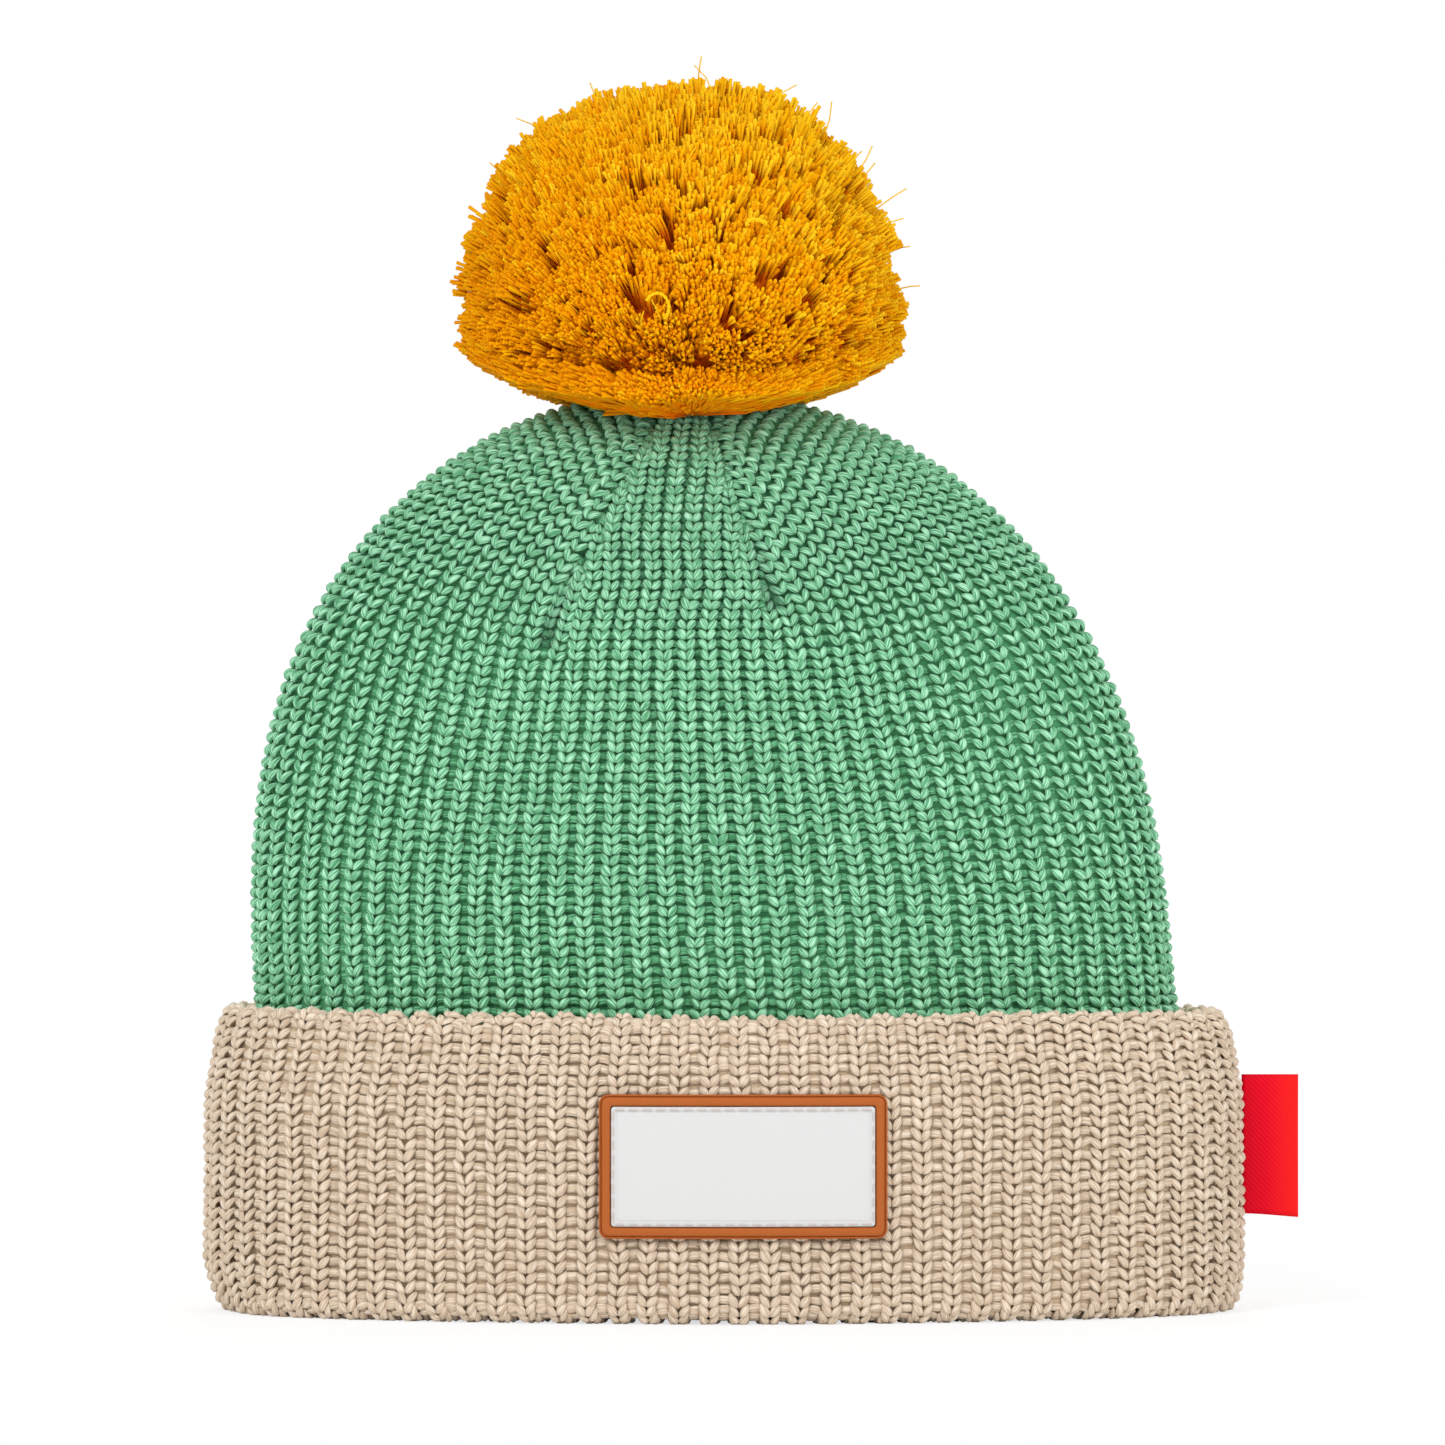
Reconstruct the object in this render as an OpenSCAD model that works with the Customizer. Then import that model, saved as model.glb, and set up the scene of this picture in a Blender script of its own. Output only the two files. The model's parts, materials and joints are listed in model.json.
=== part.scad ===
// Child's rib-knit bobble beanie with a turned-up cuff, a sewn-on patch and a ribbon side label.
// Millimetres. +Z is up and the beanie stands on the fold of its cuff at z = 0.
// The origin is the middle of the head opening, the front faces -Y and the label is at +X.

/* [Crown] */
// Half of the crown's width where it leaves the cuff
crown_half_width = 98.4; // [88:0.1:112]
// Half of the crown's depth, front to back, where it leaves the cuff
crown_half_depth = 42; // [34:0.5:70]
// Height of the crown's top
crown_top = 196.5; // [175:0.5:225]
// Height at which the crown begins to draw in
shoulder_z = 60; // [50:1:90]
// Roundness of the crown seen from the front: higher is squarer
width_power = 2.7; // [2:0.1:4]
// Roundness of the crown seen from the side: higher is squarer
depth_power = 4; // [2:0.1:5]
// Thickness of the crown's knit fabric
crown_wall = 4; // [3:0.1:5]
// Sideways lean of the crown's top
crown_lean = 7.5; // [0:0.5:12]
// Radius of the small hole that the gathered top leaves open
gather_hole_r = 3.5; // [2.5:0.1:5]
// How far the gathered top is drawn in below the dome
gather_dimple = 0.5; // [0:0.1:1]

/* [Cuff] */
// Height of the turned-up cuff
cuff_height = 65.5; // [55:0.5:80]
// Height of the inner ply, where the crown's yarn begins
inner_ply_height = 52; // [42:0.5:54]
// Thickness of the cuff's inner ply
inner_ply = 4.5; // [3.5:0.1:5]
// Thickness of the cuff's outer ply
outer_ply = 5.2; // [4:0.1:6]
// How far the fabric spreads below the top of the cuff
cuff_flare = 6; // [3:0.5:8]
// How far the cuff's face stands outside the crown at its widest
cuff_proud = 12.6; // [12:0.1:16]
// How far the cuff's face leans back in towards its top edge
cuff_top_lean = 2.8; // [0:0.1:4]
// Radius of the two rounded edges of the fold
fold_round = 3.8; // [2:0.1:4.5]
// Thickness of the fabric at the turn of the fold
fold_thickness = 5.5; // [4:0.1:8]

/* [Pompom] */
// Radius of the pompom
pompom_r = 47; // [35:0.5:55]
// Height of the pompom's dome above its widest ring
pompom_dome = 50; // [35:0.5:60]
// Height of the rounded shoulder below the widest ring
pompom_shoulder = 9; // [6:0.5:15]
// Height of the widest ring above the pivot
pompom_belt = 20.5; // [18:0.5:30]
// Radius of the tied waist
waist_r = 6.4; // [4:0.1:8]
// Radius of the binding yarn
binding_yarn_r = 1; // [0.6:0.1:1.3]
// Turns of the binding
binding_turns = 2; // [1:1:2]
// Radius of the knot that sits in the gathered hole
tie_knot_r = 3.2; // [2:0.1:3.2]
// Radius of the tie yarn between its two knots
tie_yarn_r = 1.8; // [1:0.1:1.8]
// Radius of the anchor knot inside the crown
anchor_knot_r = 3.8; // [2.5:0.1:4]
// Distance from the pivot down to the anchor knot
anchor_drop = 7.8; // [7:0.1:12]
// Length of the cut ends below the anchor knot
tie_end_length = 12; // [6:0.5:25]

/* [Patch] */
// Width of the patch
patch_width = 60; // [40:0.5:70]
// Height of the patch
patch_height = 30; // [20:0.1:34]
// Height of the patch's middle above the fold
patch_z = 33; // [28:0.5:38]
// Sideways place of the patch's middle
patch_x = 4; // [-10:0.5:10]
// Corner radius of the patch
patch_corner = 2; // [1:0.1:4]
// Corner radius of the plate and its recess
plate_corner = 0.7; // [0.3:0.1:2]
// Thickness of the patch's moulded frame
patch_thickness = 1.6; // [1.2:0.1:2.5]
// Width of the frame around the plate
frame_border = 2.4; // [1.5:0.1:4]
// Depth of the recess that the plate lies in
plate_recess = 0.9; // [0.5:0.1:1]
// Thickness of the plate
plate_thickness = 0.7; // [0.4:0.1:0.7]
// Distance from the plate's edge to its stitch line
stitch_inset = 0.7; // [0.5:0.1:1.5]
// Length of one stitch
stitch_length = 1.9; // [1:0.1:3]
// Space between two stitches
stitch_space = 0.8; // [0.5:0.1:2]
// Radius of the sewing thread
thread_r = 0.18; // [0.1:0.01:0.2]

/* [Side label] */
// How far the label stands out
label_reach = 11.4; // [6:0.1:16]
// Height of the label
label_height = 30.3; // [15:0.1:36]
// Height of the label's middle above the fold
label_z = 35; // [28:0.5:38]
// Thickness of the ribbon
ribbon = 0.4; // [0.2:0.05:0.45]
// Thickness of the folded label
label_thickness = 1.2; // [1:0.1:2]

/* [Threads] */
// Radius of the gathering yarn inside the top
gather_yarn_r = 0.9; // [0.5:0.1:1]
// Radius of the gathering yarn's ring
gather_ring_r = 6; // [5.6:0.1:7]
// Radius of the seam yarn
seam_yarn_r = 0.8; // [0.4:0.1:0.9]
// Radius of the thread that closes the cuff over the label's ends
label_thread_r = 0.3; // [0.2:0.05:0.35]

/* [Fits] */
// Gap between pieces that lie against each other
seat_gap = 0.3; // [0.2:0.05:0.4]
// Gap around the plate in its recess
plate_gap = 0.15; // [0.1:0.05:0.3]

/* [Ribs] */
// Ribs around the whole beanie
rib_count = 80; // [64:4:96]
// How deep the furrow between two ribs is
rib_depth = 0.9; // [0.4:0.1:1.2]
// How deep the furrows still are at the top, as a share
rib_fade = 0.35; // [0:0.05:1]

/* [Detail] */
// Rings from the shoulder to the top of the crown
dome_rings = 12; // [8:1:16]

/* [Hidden] */
$fn = 48;

crown_base = inner_ply_height + seat_gap;
crown_rim_top = crown_top - gather_dimple;
inner_top = crown_top - crown_wall;
last_ring = dome_rings - 1;
flare_run = 35;
flare_lead = 4;
lean_power = 0.6;

pivot_x = lean_x(crown_top);
pivot_z = crown_rim_top - crown_wall / 2 - dome_top_drop(last_ring);
waist_z = tie_knot_r + seat_gap;
waist_chamfer = waist_r / 6;
binding_r = waist_r + seat_gap + binding_yarn_r;
binding_z = waist_z + waist_chamfer + binding_yarn_r + seat_gap;
binding_pitch = 2 * binding_yarn_r + 0.1;
underside_z = binding_z + (binding_turns - 1) * binding_pitch + binding_yarn_r + seat_gap;

cuff_a = crown_half_width + cuff_proud;
cuff_b = crown_half_depth + cuff_proud;
fold_in = cuff_flare - inner_ply;
lean_foot = cuff_height * 0.7;
bead_r = outer_ply / 2;
bead = [cuff_proud - cuff_top_lean - bead_r, cuff_height - bead_r];
front_r = cuff_a * cuff_a / cuff_b;
patch_back_r = front_r + seat_gap / 2;
plate_back_r = patch_back_r + patch_thickness - plate_recess;
plate_face_r = plate_back_r + plate_gap + plate_thickness;
plate_width = patch_width - 2 * frame_border;
plate_height = patch_height - 2 * frame_border;

label_root_x = cuff_a + seat_gap + label_thickness / 2;

// Length of the tube's outline from its side round to each degree of a quarter turn
quarter_table = [
    for (i = 0, run = 0; i <= 90;
        run = run + norm([crown_half_width * sin(i + 0.5), crown_half_depth * cos(i + 0.5)]),
        i = i + 1)
        [run, i]
];

// ---- rules that the knit tube follows ----

function smooth(u) = let (v = min(max(u, 0), 1)) v * v * (3 - 2 * v);

// Extra half-size of the fabric where the cuff spreads it
function flare(z) = cuff_flare * smooth((cuff_height + flare_lead - z) / flare_run);

// Sideways shift of the tube's middle at height z
function lean_x(z) =
    -crown_lean * pow(max(z - inner_ply_height, 0) / (crown_top - inner_ply_height), lean_power);

// Angle round the tube after u quarters of its outline, so that all ribs are equally wide
function rib_angle(u) =
    let (quarter = floor(u), part = u - quarter, whole = quarter_table[90][0])
        quarter % 2 == 0
            ? 90 * quarter + lookup(part * whole, quarter_table)
            : 90 * (quarter + 1) - lookup((1 - part) * whole, quarter_table);

// A smooth ring with one point on each rib
function ring(half_width, half_depth, z) = [
    for (i = [0 : rib_count - 1])
        let (angle = rib_angle(4 * i / rib_count))
            [lean_x(z) + half_width * cos(angle), half_depth * sin(angle), z]
];

// A ring of ridges, with a point on each rib and one in the furrow after it
function ribbed_ring(half_width, half_depth, z, furrow) = [
    for (i = [0 : 2 * rib_count - 1])
        let (angle = rib_angle(2 * i / rib_count), inset = furrow * (i % 2))
            [lean_x(z) + (half_width - inset) * cos(angle), (half_depth - inset) * sin(angle), z]
];

// Height of dome ring k, for a dome that ends at top
function dome_z(k, top) = shoulder_z + (top - shoulder_z) * sin(90 * k / dome_rings);

// How far the dome's last ring lies below the dome's own top
function dome_top_drop(k) = crown_top - dome_z(k, crown_top);

// Half-width and half-depth of dome ring k of a surface inset within the crown's outside
function dome_size(k, inset) =
    let (t = sin(90 * k / dome_rings), spread = flare(dome_z(k, crown_top - inset)))
        [(crown_half_width - inset) * sqrt(1 - pow(t, width_power)) + spread,
            (crown_half_depth - inset) * sqrt(1 - pow(t, depth_power)) + spread];

// Dome ring k on the ribbed outside; the furrows grow shallow towards the top
function outer_dome_ring(k) =
    let (size = dome_size(k, 0), furrow = rib_depth * (1 - (1 - rib_fade) * k / last_ring))
        ribbed_ring(size[0], size[1], dome_z(k, crown_top), furrow);

// Dome ring k on the smooth inside
function inner_dome_ring(k) =
    let (size = dome_size(k, crown_wall))
        ring(size[0], size[1], dome_z(k, inner_top));

// Edge of the gathered hole; it keeps the lean of the crown's top
function hole_ring(z) = [
    for (i = [0 : rib_count - 1])
        let (angle = rib_angle(4 * i / rib_count))
            [pivot_x + gather_hole_r * cos(angle), gather_hole_r * sin(angle), z]
];

// Half-width of the crown's inside at height z, for threads that run along it
function inside_half_width(z) =
    let (t = max(z - shoulder_z, 0) / (inner_top - shoulder_z))
        (crown_half_width - crown_wall) * sqrt(1 - pow(t, width_power)) + flare(z);

// Faces between two rings of equal size, or of which one has twice the other's points
function band(near, near_size, far, far_size) =
    near_size == far_size ? [
        for (i = [0 : near_size - 1])
            let (next = (i + 1) % near_size)
                each [[near + i, far + next, near + next], [near + i, far + i, far + next]]
    ] : near_size > far_size ? [
        for (i = [0 : far_size - 1])
            let (furrow = near + 2 * i + 1, next = (i + 1) % far_size)
                each [[furrow - 1, far + i, furrow], [furrow, far + i, far + next],
                    [furrow, far + next, near + 2 * next]]
    ] : [
        for (i = [0 : near_size - 1])
            let (furrow = far + 2 * i + 1, next = (i + 1) % near_size)
                each [[near + i, furrow - 1, furrow], [near + i, furrow, near + next],
                    [near + next, furrow, far + 2 * next]]
    ];

// A solid whose skin runs through a closed loop of rings
module ring_loop(rings) {
    count = len(rings);
    starts = [for (j = 0, at = 0; j < count; at = at + len(rings[j]), j = j + 1) at];
    polyhedron(
        points = [for (r = rings) each r],
        faces = [
            for (j = [0 : count - 1])
                let (k = (j + 1) % count)
                    each band(starts[j], len(rings[j]), starts[k], len(rings[k]))
        ],
        convexity = 8);
}

// Arc of profile points about a centre, in [distance from the tube, height]
function arc(centre, radius, from, to, steps) = [
    for (i = [0 : steps])
        let (angle = from + (to - from) * i / steps)
            centre + radius * [cos(angle), sin(angle)]
];

// ---- the knit ----

module crown_shell() {
    rim = [crown_half_width + flare(crown_base), crown_half_depth + flare(crown_base)];
    color([0.42, 0.67, 0.51])
        ring_loop(concat(
            [ribbed_ring(rim[0], rim[1], crown_base, rib_depth)],
            [for (k = [0 : last_ring]) outer_dome_ring(k)],
            [hole_ring(pivot_z + crown_wall / 2)],
            [hole_ring(pivot_z - crown_wall / 2)],
            [for (k = [last_ring : -1 : 0]) inner_dome_ring(k)],
            [ring(rim[0] - crown_wall, rim[1] - crown_wall, crown_base)]));
}

// Half-section of the cuff's ribbed side: round the fold, up the face and over the bead.
// The ribs begin one step up the fold, so the flat that the cuff stands on stays whole.
function cuff_face(furrow) =
    let (fold_steps = 4, first = 270 + 90 / fold_steps)
    concat(
        arc([cuff_proud - fold_round, fold_round], fold_round - furrow, first, 360, fold_steps - 1),
        [[cuff_proud - furrow, lean_foot]],
        arc(bead, bead_r - furrow, 0, 90, 3));

// One ring of the cuff through points of its half-section, on the ribs and in the furrows
function cuff_ring(on_rib, in_furrow) = [
    for (i = [0 : 2 * rib_count - 1])
        let (angle = rib_angle(2 * i / rib_count), p = i % 2 == 0 ? on_rib : in_furrow)
            [(crown_half_width + p[0]) * cos(angle), (crown_half_depth + p[0]) * sin(angle), p[1]]
];

// The same for a smooth ring, with one point on each rib
function smooth_cuff_ring(p) = [
    for (i = [0 : rib_count - 1])
        let (angle = rib_angle(4 * i / rib_count))
            [(crown_half_width + p[0]) * cos(angle), (crown_half_depth + p[0]) * sin(angle), p[1]]
];

module cuff() {
    ribs = cuff_face(0);
    furrows = cuff_face(rib_depth);
    inside = concat(
        [for (z = [inner_ply_height : -(inner_ply_height - fold_round) / 4 : fold_round + 1])
            [flare(z) - inner_ply, z]],
        arc([fold_in + fold_round, fold_round], fold_round, 180, 270, 4),
        [[cuff_proud - fold_round, 0]]);
    between = concat(
        arc(bead, bead_r, 135, 180, 1),
        [[cuff_proud - outer_ply, lean_foot],
            [cuff_proud - outer_ply, fold_thickness], [flare(fold_thickness), fold_thickness]],
        [for (z = [inner_ply_height / 3 : inner_ply_height / 6 : inner_ply_height])
            [flare(z), z]]);
    color([0.77, 0.69, 0.59])
        ring_loop(concat(
            [for (p = inside) smooth_cuff_ring(p)],
            [for (k = [0 : len(ribs) - 1]) cuff_ring(ribs[k], furrows[k])],
            [for (p = between) smooth_cuff_ring(p)]));
}

// ---- threads of the knit tube ----

// A yarn of 8 sides swept along points that rise in the XZ plane
module rising_yarn(path, yarn_r) {
    sides = 8;
    last = len(path) - 1;
    skin = [
        for (p = path)
            for (i = [0 : sides - 1])
                let (angle = 360 * i / sides)
                    [p[0] + yarn_r * cos(angle), yarn_r * sin(angle), p[1]]
    ];
    walls = [
        for (j = [0 : last - 1])
            for (i = [0 : sides - 1])
                let (near = j * sides, far = near + sides, next = (i + 1) % sides)
                    each [[near + i, far + next, near + next], [near + i, far + i, far + next]]
    ];
    polyhedron(
        points = skin,
        faces = concat(walls,
            [[for (i = [0 : sides - 1]) i]],
            [[for (i = [sides - 1 : -1 : 0]) last * sides + i]]));
}

module side_seam() {
    steps = 14;
    foot = crown_base + seam_yarn_r;
    head = shoulder_z + (inner_top - shoulder_z) * 0.9;
    clear = seam_yarn_r + seat_gap;
    color([0.33, 0.58, 0.42])
        rising_yarn([
            for (i = [0 : steps])
                let (z = foot + (head - foot) * sin(90 * i / steps))
                    [lean_x(z) + inside_half_width(z) - clear * 1.6, z]
        ], seam_yarn_r);
}

module crown_gather_thread() {
    color([0.33, 0.58, 0.42])
        translate([pivot_x, 0, pivot_z - crown_wall / 2 - seat_gap - gather_yarn_r])
            rotate_extrude()
                translate([gather_ring_r, 0])
                    circle(gather_yarn_r, $fn = 24);
}

// It lies in the gap between the plies and leans in with the cuff's face
module label_seam_thread() {
    x = cuff_a - outer_ply - seat_gap / 2 - label_thread_r;
    lean = cuff_top_lean / 4;
    color([0.74, 0.66, 0.55])
        translate([x, 0, label_z - label_height / 2])
            rotate([0, -atan(lean / label_height), 0])
                cylinder(h = label_height, r = label_thread_r);
}

// ---- the pompom ----

module pompom_tie() {
    spread = 18;
    color([0.85, 0.55, 0.05])
        translate([pivot_x, 0, pivot_z])
            union() {
                sphere(tie_knot_r);
                translate([0, 0, -anchor_drop])
                    cylinder(h = anchor_drop, r = tie_yarn_r);
                translate([0, 0, -anchor_drop])
                    sphere(anchor_knot_r);
                for (side = [-1, 1])
                    translate([0, 0, -anchor_drop])
                        rotate([0, 180 + side * spread, 0])
                            cylinder(h = anchor_knot_r + tie_end_length, r = tie_yarn_r / 2);
            }
}

// Half-outline of the pompom about its pivot: tied waist, underside, shoulder and dome
function pompom_outline() =
    let (steps = 14, rim = pompom_r - pompom_shoulder * 0.6)
    concat(
        [[0, waist_z], [waist_r / 2, waist_z], [waist_r, waist_z + waist_chamfer]],
        [[waist_r, underside_z], [waist_r + 3, underside_z]],
        [for (i = [0 : 4])
            let (angle = -90 + 90 * i / 4)
                [rim + (pompom_r - rim) * cos(angle),
                    pompom_belt + pompom_shoulder * sin(angle)]],
        [for (i = [1 : steps])
            let (angle = 90 * i / steps)
                [pompom_r * cos(angle), pompom_belt + pompom_dome * sin(angle)]]);

module pompom() {
    color([0.88, 0.59, 0.03])
        translate([pivot_x, 0, pivot_z])
            rotate_extrude()
                polygon(pompom_outline());
}

module pompom_binding() {
    color([0.78, 0.48, 0.02])
        translate([pivot_x, 0, pivot_z + binding_z])
            for (turn = [0 : binding_turns - 1])
                translate([0, 0, turn * binding_pitch])
                    rotate_extrude()
                        translate([binding_r, 0])
                            circle(binding_yarn_r, $fn = 24);
}

// ---- the patch ----

// Rectangle with round corners, centred
module rounded_rect(width, height, radius) {
    square([width - 2 * radius, height], center = true);
    square([width, height - 2 * radius], center = true);
    for (x = [-1, 1], y = [-1, 1])
        translate([x * (width / 2 - radius), y * (height / 2 - radius)])
            circle(radius, $fn = 32);
}

// A sheet bent to the cuff's front between two radii, cut to a 2-D shape
module bent_sheet(inner_r, outer_r) {
    depth = 20;
    half_angle = asin((abs(patch_x) + patch_width / 2) / front_r) + 1;
    intersection() {
        translate([0, front_r - cuff_b, patch_z - patch_height])
            rotate([0, 0, -90 - half_angle])
                rotate_extrude(angle = 2 * half_angle, $fn = 360)
                    translate([inner_r, 0])
                        square([outer_r - inner_r, 2 * patch_height]);
        translate([patch_x, depth - cuff_b, patch_z])
            rotate([90, 0, 0])
                linear_extrude(2 * depth)
                    children();
    }
}

module patch_frame() {
    color([0.73, 0.4, 0.2])
        difference() {
            bent_sheet(patch_back_r, patch_back_r + patch_thickness)
                rounded_rect(patch_width, patch_height, patch_corner);
            bent_sheet(plate_back_r, plate_back_r + 2 * patch_thickness)
                rounded_rect(plate_width, plate_height, plate_corner);
        }
}

module patch_plate() {
    color([0.91, 0.91, 0.91])
        bent_sheet(plate_back_r + plate_gap, plate_face_r)
            rounded_rect(plate_width - 2 * plate_gap, plate_height - 2 * plate_gap,
                plate_corner);
}

// One stitch lying on the plate at a place across and up from the patch's middle
module stitch(across, up, along_z) {
    x = patch_x + across;
    turn = asin(x / front_r);
    lift = plate_face_r + thread_r + plate_gap;
    translate([0, front_r - cuff_b, patch_z + up])
        rotate([0, 0, turn])
            translate([0, -lift, 0])
                rotate([0, along_z ? 0 : 90, 0])
                    cylinder(h = stitch_length, r = thread_r, center = true, $fn = 16);
}

module patch_stitching() {
    run_x = plate_width - 2 * stitch_inset;
    run_z = plate_height - 2 * stitch_inset;
    count_x = floor(run_x / (stitch_length + stitch_space));
    count_z = floor(run_z / (stitch_length + stitch_space));
    color([0.8, 0.8, 0.8]) {
        for (side = [-1, 1], i = [0 : count_x - 1])
            stitch(run_x * ((i + 0.5) / count_x - 0.5), side * run_z / 2, false);
        for (side = [-1, 1], i = [0 : count_z - 1])
            stitch(side * run_x / 2, run_z * ((i + 0.5) / count_z - 0.5), true);
    }
}

// ---- the side label ----

// Plan of the folded ribbon: a flat loop with round ends
module label_plan(thickness) {
    length = label_reach - label_thickness;
    translate([0, -thickness / 2])
        square([length, thickness]);
    for (x = [0, length])
        translate([x, 0])
            circle(d = thickness, $fn = 32);
}

module side_label() {
    color([0.91, 0.05, 0.17])
        translate([label_root_x, 0, label_z - label_height / 2])
            linear_extrude(label_height)
                difference() {
                    label_plan(label_thickness);
                    label_plan(label_thickness - 2 * ribbon);
                }
}

crown_shell();
cuff();
side_seam();
crown_gather_thread();
pompom_tie();
pompom();
pompom_binding();
patch_frame();
patch_plate();
patch_stitching();
side_label();
label_seam_thread();
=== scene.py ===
"""Looks of a child's rib-knit bobble beanie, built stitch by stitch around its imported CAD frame.

Lengths are in millimetres until a mesh is made. The knit is one plump yarn leg after another, set
on the same curved tube that the CAD solids follow.
"""

import json
import math

import bpy
import numpy as np
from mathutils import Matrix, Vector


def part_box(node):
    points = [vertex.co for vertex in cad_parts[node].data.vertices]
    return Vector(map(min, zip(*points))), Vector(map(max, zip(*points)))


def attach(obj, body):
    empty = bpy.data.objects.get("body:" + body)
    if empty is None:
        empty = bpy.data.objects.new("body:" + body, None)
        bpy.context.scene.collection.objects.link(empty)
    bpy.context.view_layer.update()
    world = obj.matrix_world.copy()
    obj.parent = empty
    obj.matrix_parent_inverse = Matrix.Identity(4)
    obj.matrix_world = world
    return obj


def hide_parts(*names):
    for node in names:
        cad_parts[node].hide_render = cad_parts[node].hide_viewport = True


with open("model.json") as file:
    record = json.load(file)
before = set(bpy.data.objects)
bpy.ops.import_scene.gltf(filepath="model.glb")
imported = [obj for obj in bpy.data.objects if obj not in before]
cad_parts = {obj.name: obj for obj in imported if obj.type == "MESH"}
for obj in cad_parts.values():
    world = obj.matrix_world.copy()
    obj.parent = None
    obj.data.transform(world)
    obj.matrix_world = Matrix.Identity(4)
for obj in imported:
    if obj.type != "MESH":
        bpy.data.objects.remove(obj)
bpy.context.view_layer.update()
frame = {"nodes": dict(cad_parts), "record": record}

MM = 0.001
rng = np.random.default_rng(20)


def box_mm(node):
    low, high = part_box(node)
    return np.array(low) / MM, np.array(high) / MM


CROWN_LOW, _ = box_mm("crown_shell")
_, CUFF_HIGH = box_mm("cuff")
BOBBLE_LOW, BOBBLE_HIGH = box_mm("pompom")
PATCH_LOW, PATCH_HIGH = box_mm("patch_frame")
PLATE_LOW, PLATE_HIGH = box_mm("patch_plate")
LABEL_LOW, LABEL_HIGH = box_mm("side_label")
JOINTS = {j["name"]: j for j in frame["record"]["behaviour"]["joints"]}
PIVOT = np.array(JOINTS["pompom_tilt"]["pos_m"]) / MM

# ---- the knit tube's own rules, as in the CAD ----

CUFF_PROUD = 12.6     # the cuff's face stands this far out of the body
CUFF_TOP = CUFF_HIGH[2]
CUFF_LEAN = 2.8       # its top leans back in by this
BODY_A = CUFF_HIGH[0] - CUFF_PROUD
BODY_B = CUFF_HIGH[1] - CUFF_PROUD
PLY_TOP = CROWN_LOW[2] - 0.3
CROWN_TOP = 196.5
SHOULDER = 60.0       # above this the body draws in
SIDE_POWER, DEPTH_POWER = 2.7, 4
FLARE = 6.0           # the body widens by this inside the cuff, over FLARE_HEIGHT
FLARE_HEIGHT = 35.0
LEAN = -PIVOT[0]      # the crown's top lies this far to the left
LEAN_POWER = 0.6
WALL = 4.0
FOLD_R = 3.8
BEAD_R = 2.6
INNER_PLY, OUTER_PLY = 4.5, 5.2
BETWEEN_PLIES = 5.5   # height at which the gap between the cuff's plies starts

WALES = 40            # ribs on each face
COURSE = 2.15         # height of one row of the crown's stitches
CUFF_COURSE = 2.3
LEFT_WALES = 13       # ribs between the left side line and the left dart
RIGHT_WALES = 16
FREEZE_Z = 141.0      # above this the ribs begin to keep their width and the darts cut them off
KNIT_END_Z = 195.2    # the last row lies under the pompom
SECTION_STEPS = 240


def smooth(u):
    v = np.clip(u, 0, 1)
    return v * v * (3 - 2 * v)


def flare(z):
    return FLARE * smooth((CUFF_TOP + 4 - z) / FLARE_HEIGHT)


def lean_x(z):
    return -LEAN * (np.maximum(z - PLY_TOP, 0) / (CROWN_TOP - PLY_TOP)) ** LEAN_POWER


def half_axes(z):
    t = np.clip((z - SHOULDER) / (CROWN_TOP - SHOULDER), 0, 0.9999)
    a = BODY_A * np.sqrt(1 - t**SIDE_POWER) + flare(z)
    b = BODY_B * np.sqrt(1 - t**DEPTH_POWER) + flare(z)
    return a, b


def section_lengths(a, b):
    """Arc length round half an ellipse, from the side line, at even steps of angle."""
    phi = (np.arange(SECTION_STEPS) + 0.5) * math.pi / SECTION_STEPS
    step = np.hypot(a[:, None] * np.sin(phi), b[:, None] * np.cos(phi)) * math.pi / SECTION_STEPS
    return np.concatenate([np.zeros((len(a), 1)), np.cumsum(step, axis=1)], axis=1)


def section_angle(d, a, b):
    """Angle at arc length d from the side line. A negative d lies on the other face."""
    total = section_lengths(a, b)
    far = np.abs(d)
    k = np.clip((total < far[:, None]).sum(axis=1) - 1, 0, SECTION_STEPS - 1)
    row = np.arange(len(d))
    near, beyond = total[row, k], total[row, k + 1]
    return np.sign(d) * (k + (far - near) / (beyond - near)) * math.pi / SECTION_STEPS


def on_tube(d, a, b, mid, z, end, face):
    """Point at arc length d from the side line at end, 1 right or -1 left, on face 1 back or -1 front."""
    phi = section_angle(d, a, b)
    return columns(mid + end * a * np.cos(phi), face * b * np.sin(phi), z)


def half_round(z):
    a, b = half_axes(np.atleast_1d(np.asarray(z, float)))
    return section_lengths(a, b)[:, -1]


def unit(v):
    return v / np.maximum(np.linalg.norm(v, axis=-1, keepdims=True), 1e-9)


def columns(*parts):
    return np.stack(parts, axis=-1)


def round_angles(count):
    return 2 * math.pi * np.arange(count) / count


def line_length(line):
    """Length of a line of points up to each of them."""
    return np.concatenate([[0], np.cumsum(np.linalg.norm(np.diff(line, axis=0), axis=1))])


def jitter(count, spread):
    return rng.normal(0, spread, count)


# ---- darts of the crown ----

DART_TOP_Z = 195.0
DARTS = {
    "left": {"foot": (-37.2, 142.6), "head": -12.0, "bow": 1.15},
    "right": {"foot": (10.6, 150.8), "head": -4.2, "bow": 0.95},
}


def dart_x(side, z):
    dart = DARTS[side]
    rise = np.clip((z - dart["foot"][1]) / (DART_TOP_Z - dart["foot"][1]), 0, 1)
    return dart["foot"][0] + (dart["head"] - dart["foot"][0]) * rise ** dart["bow"]


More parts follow.
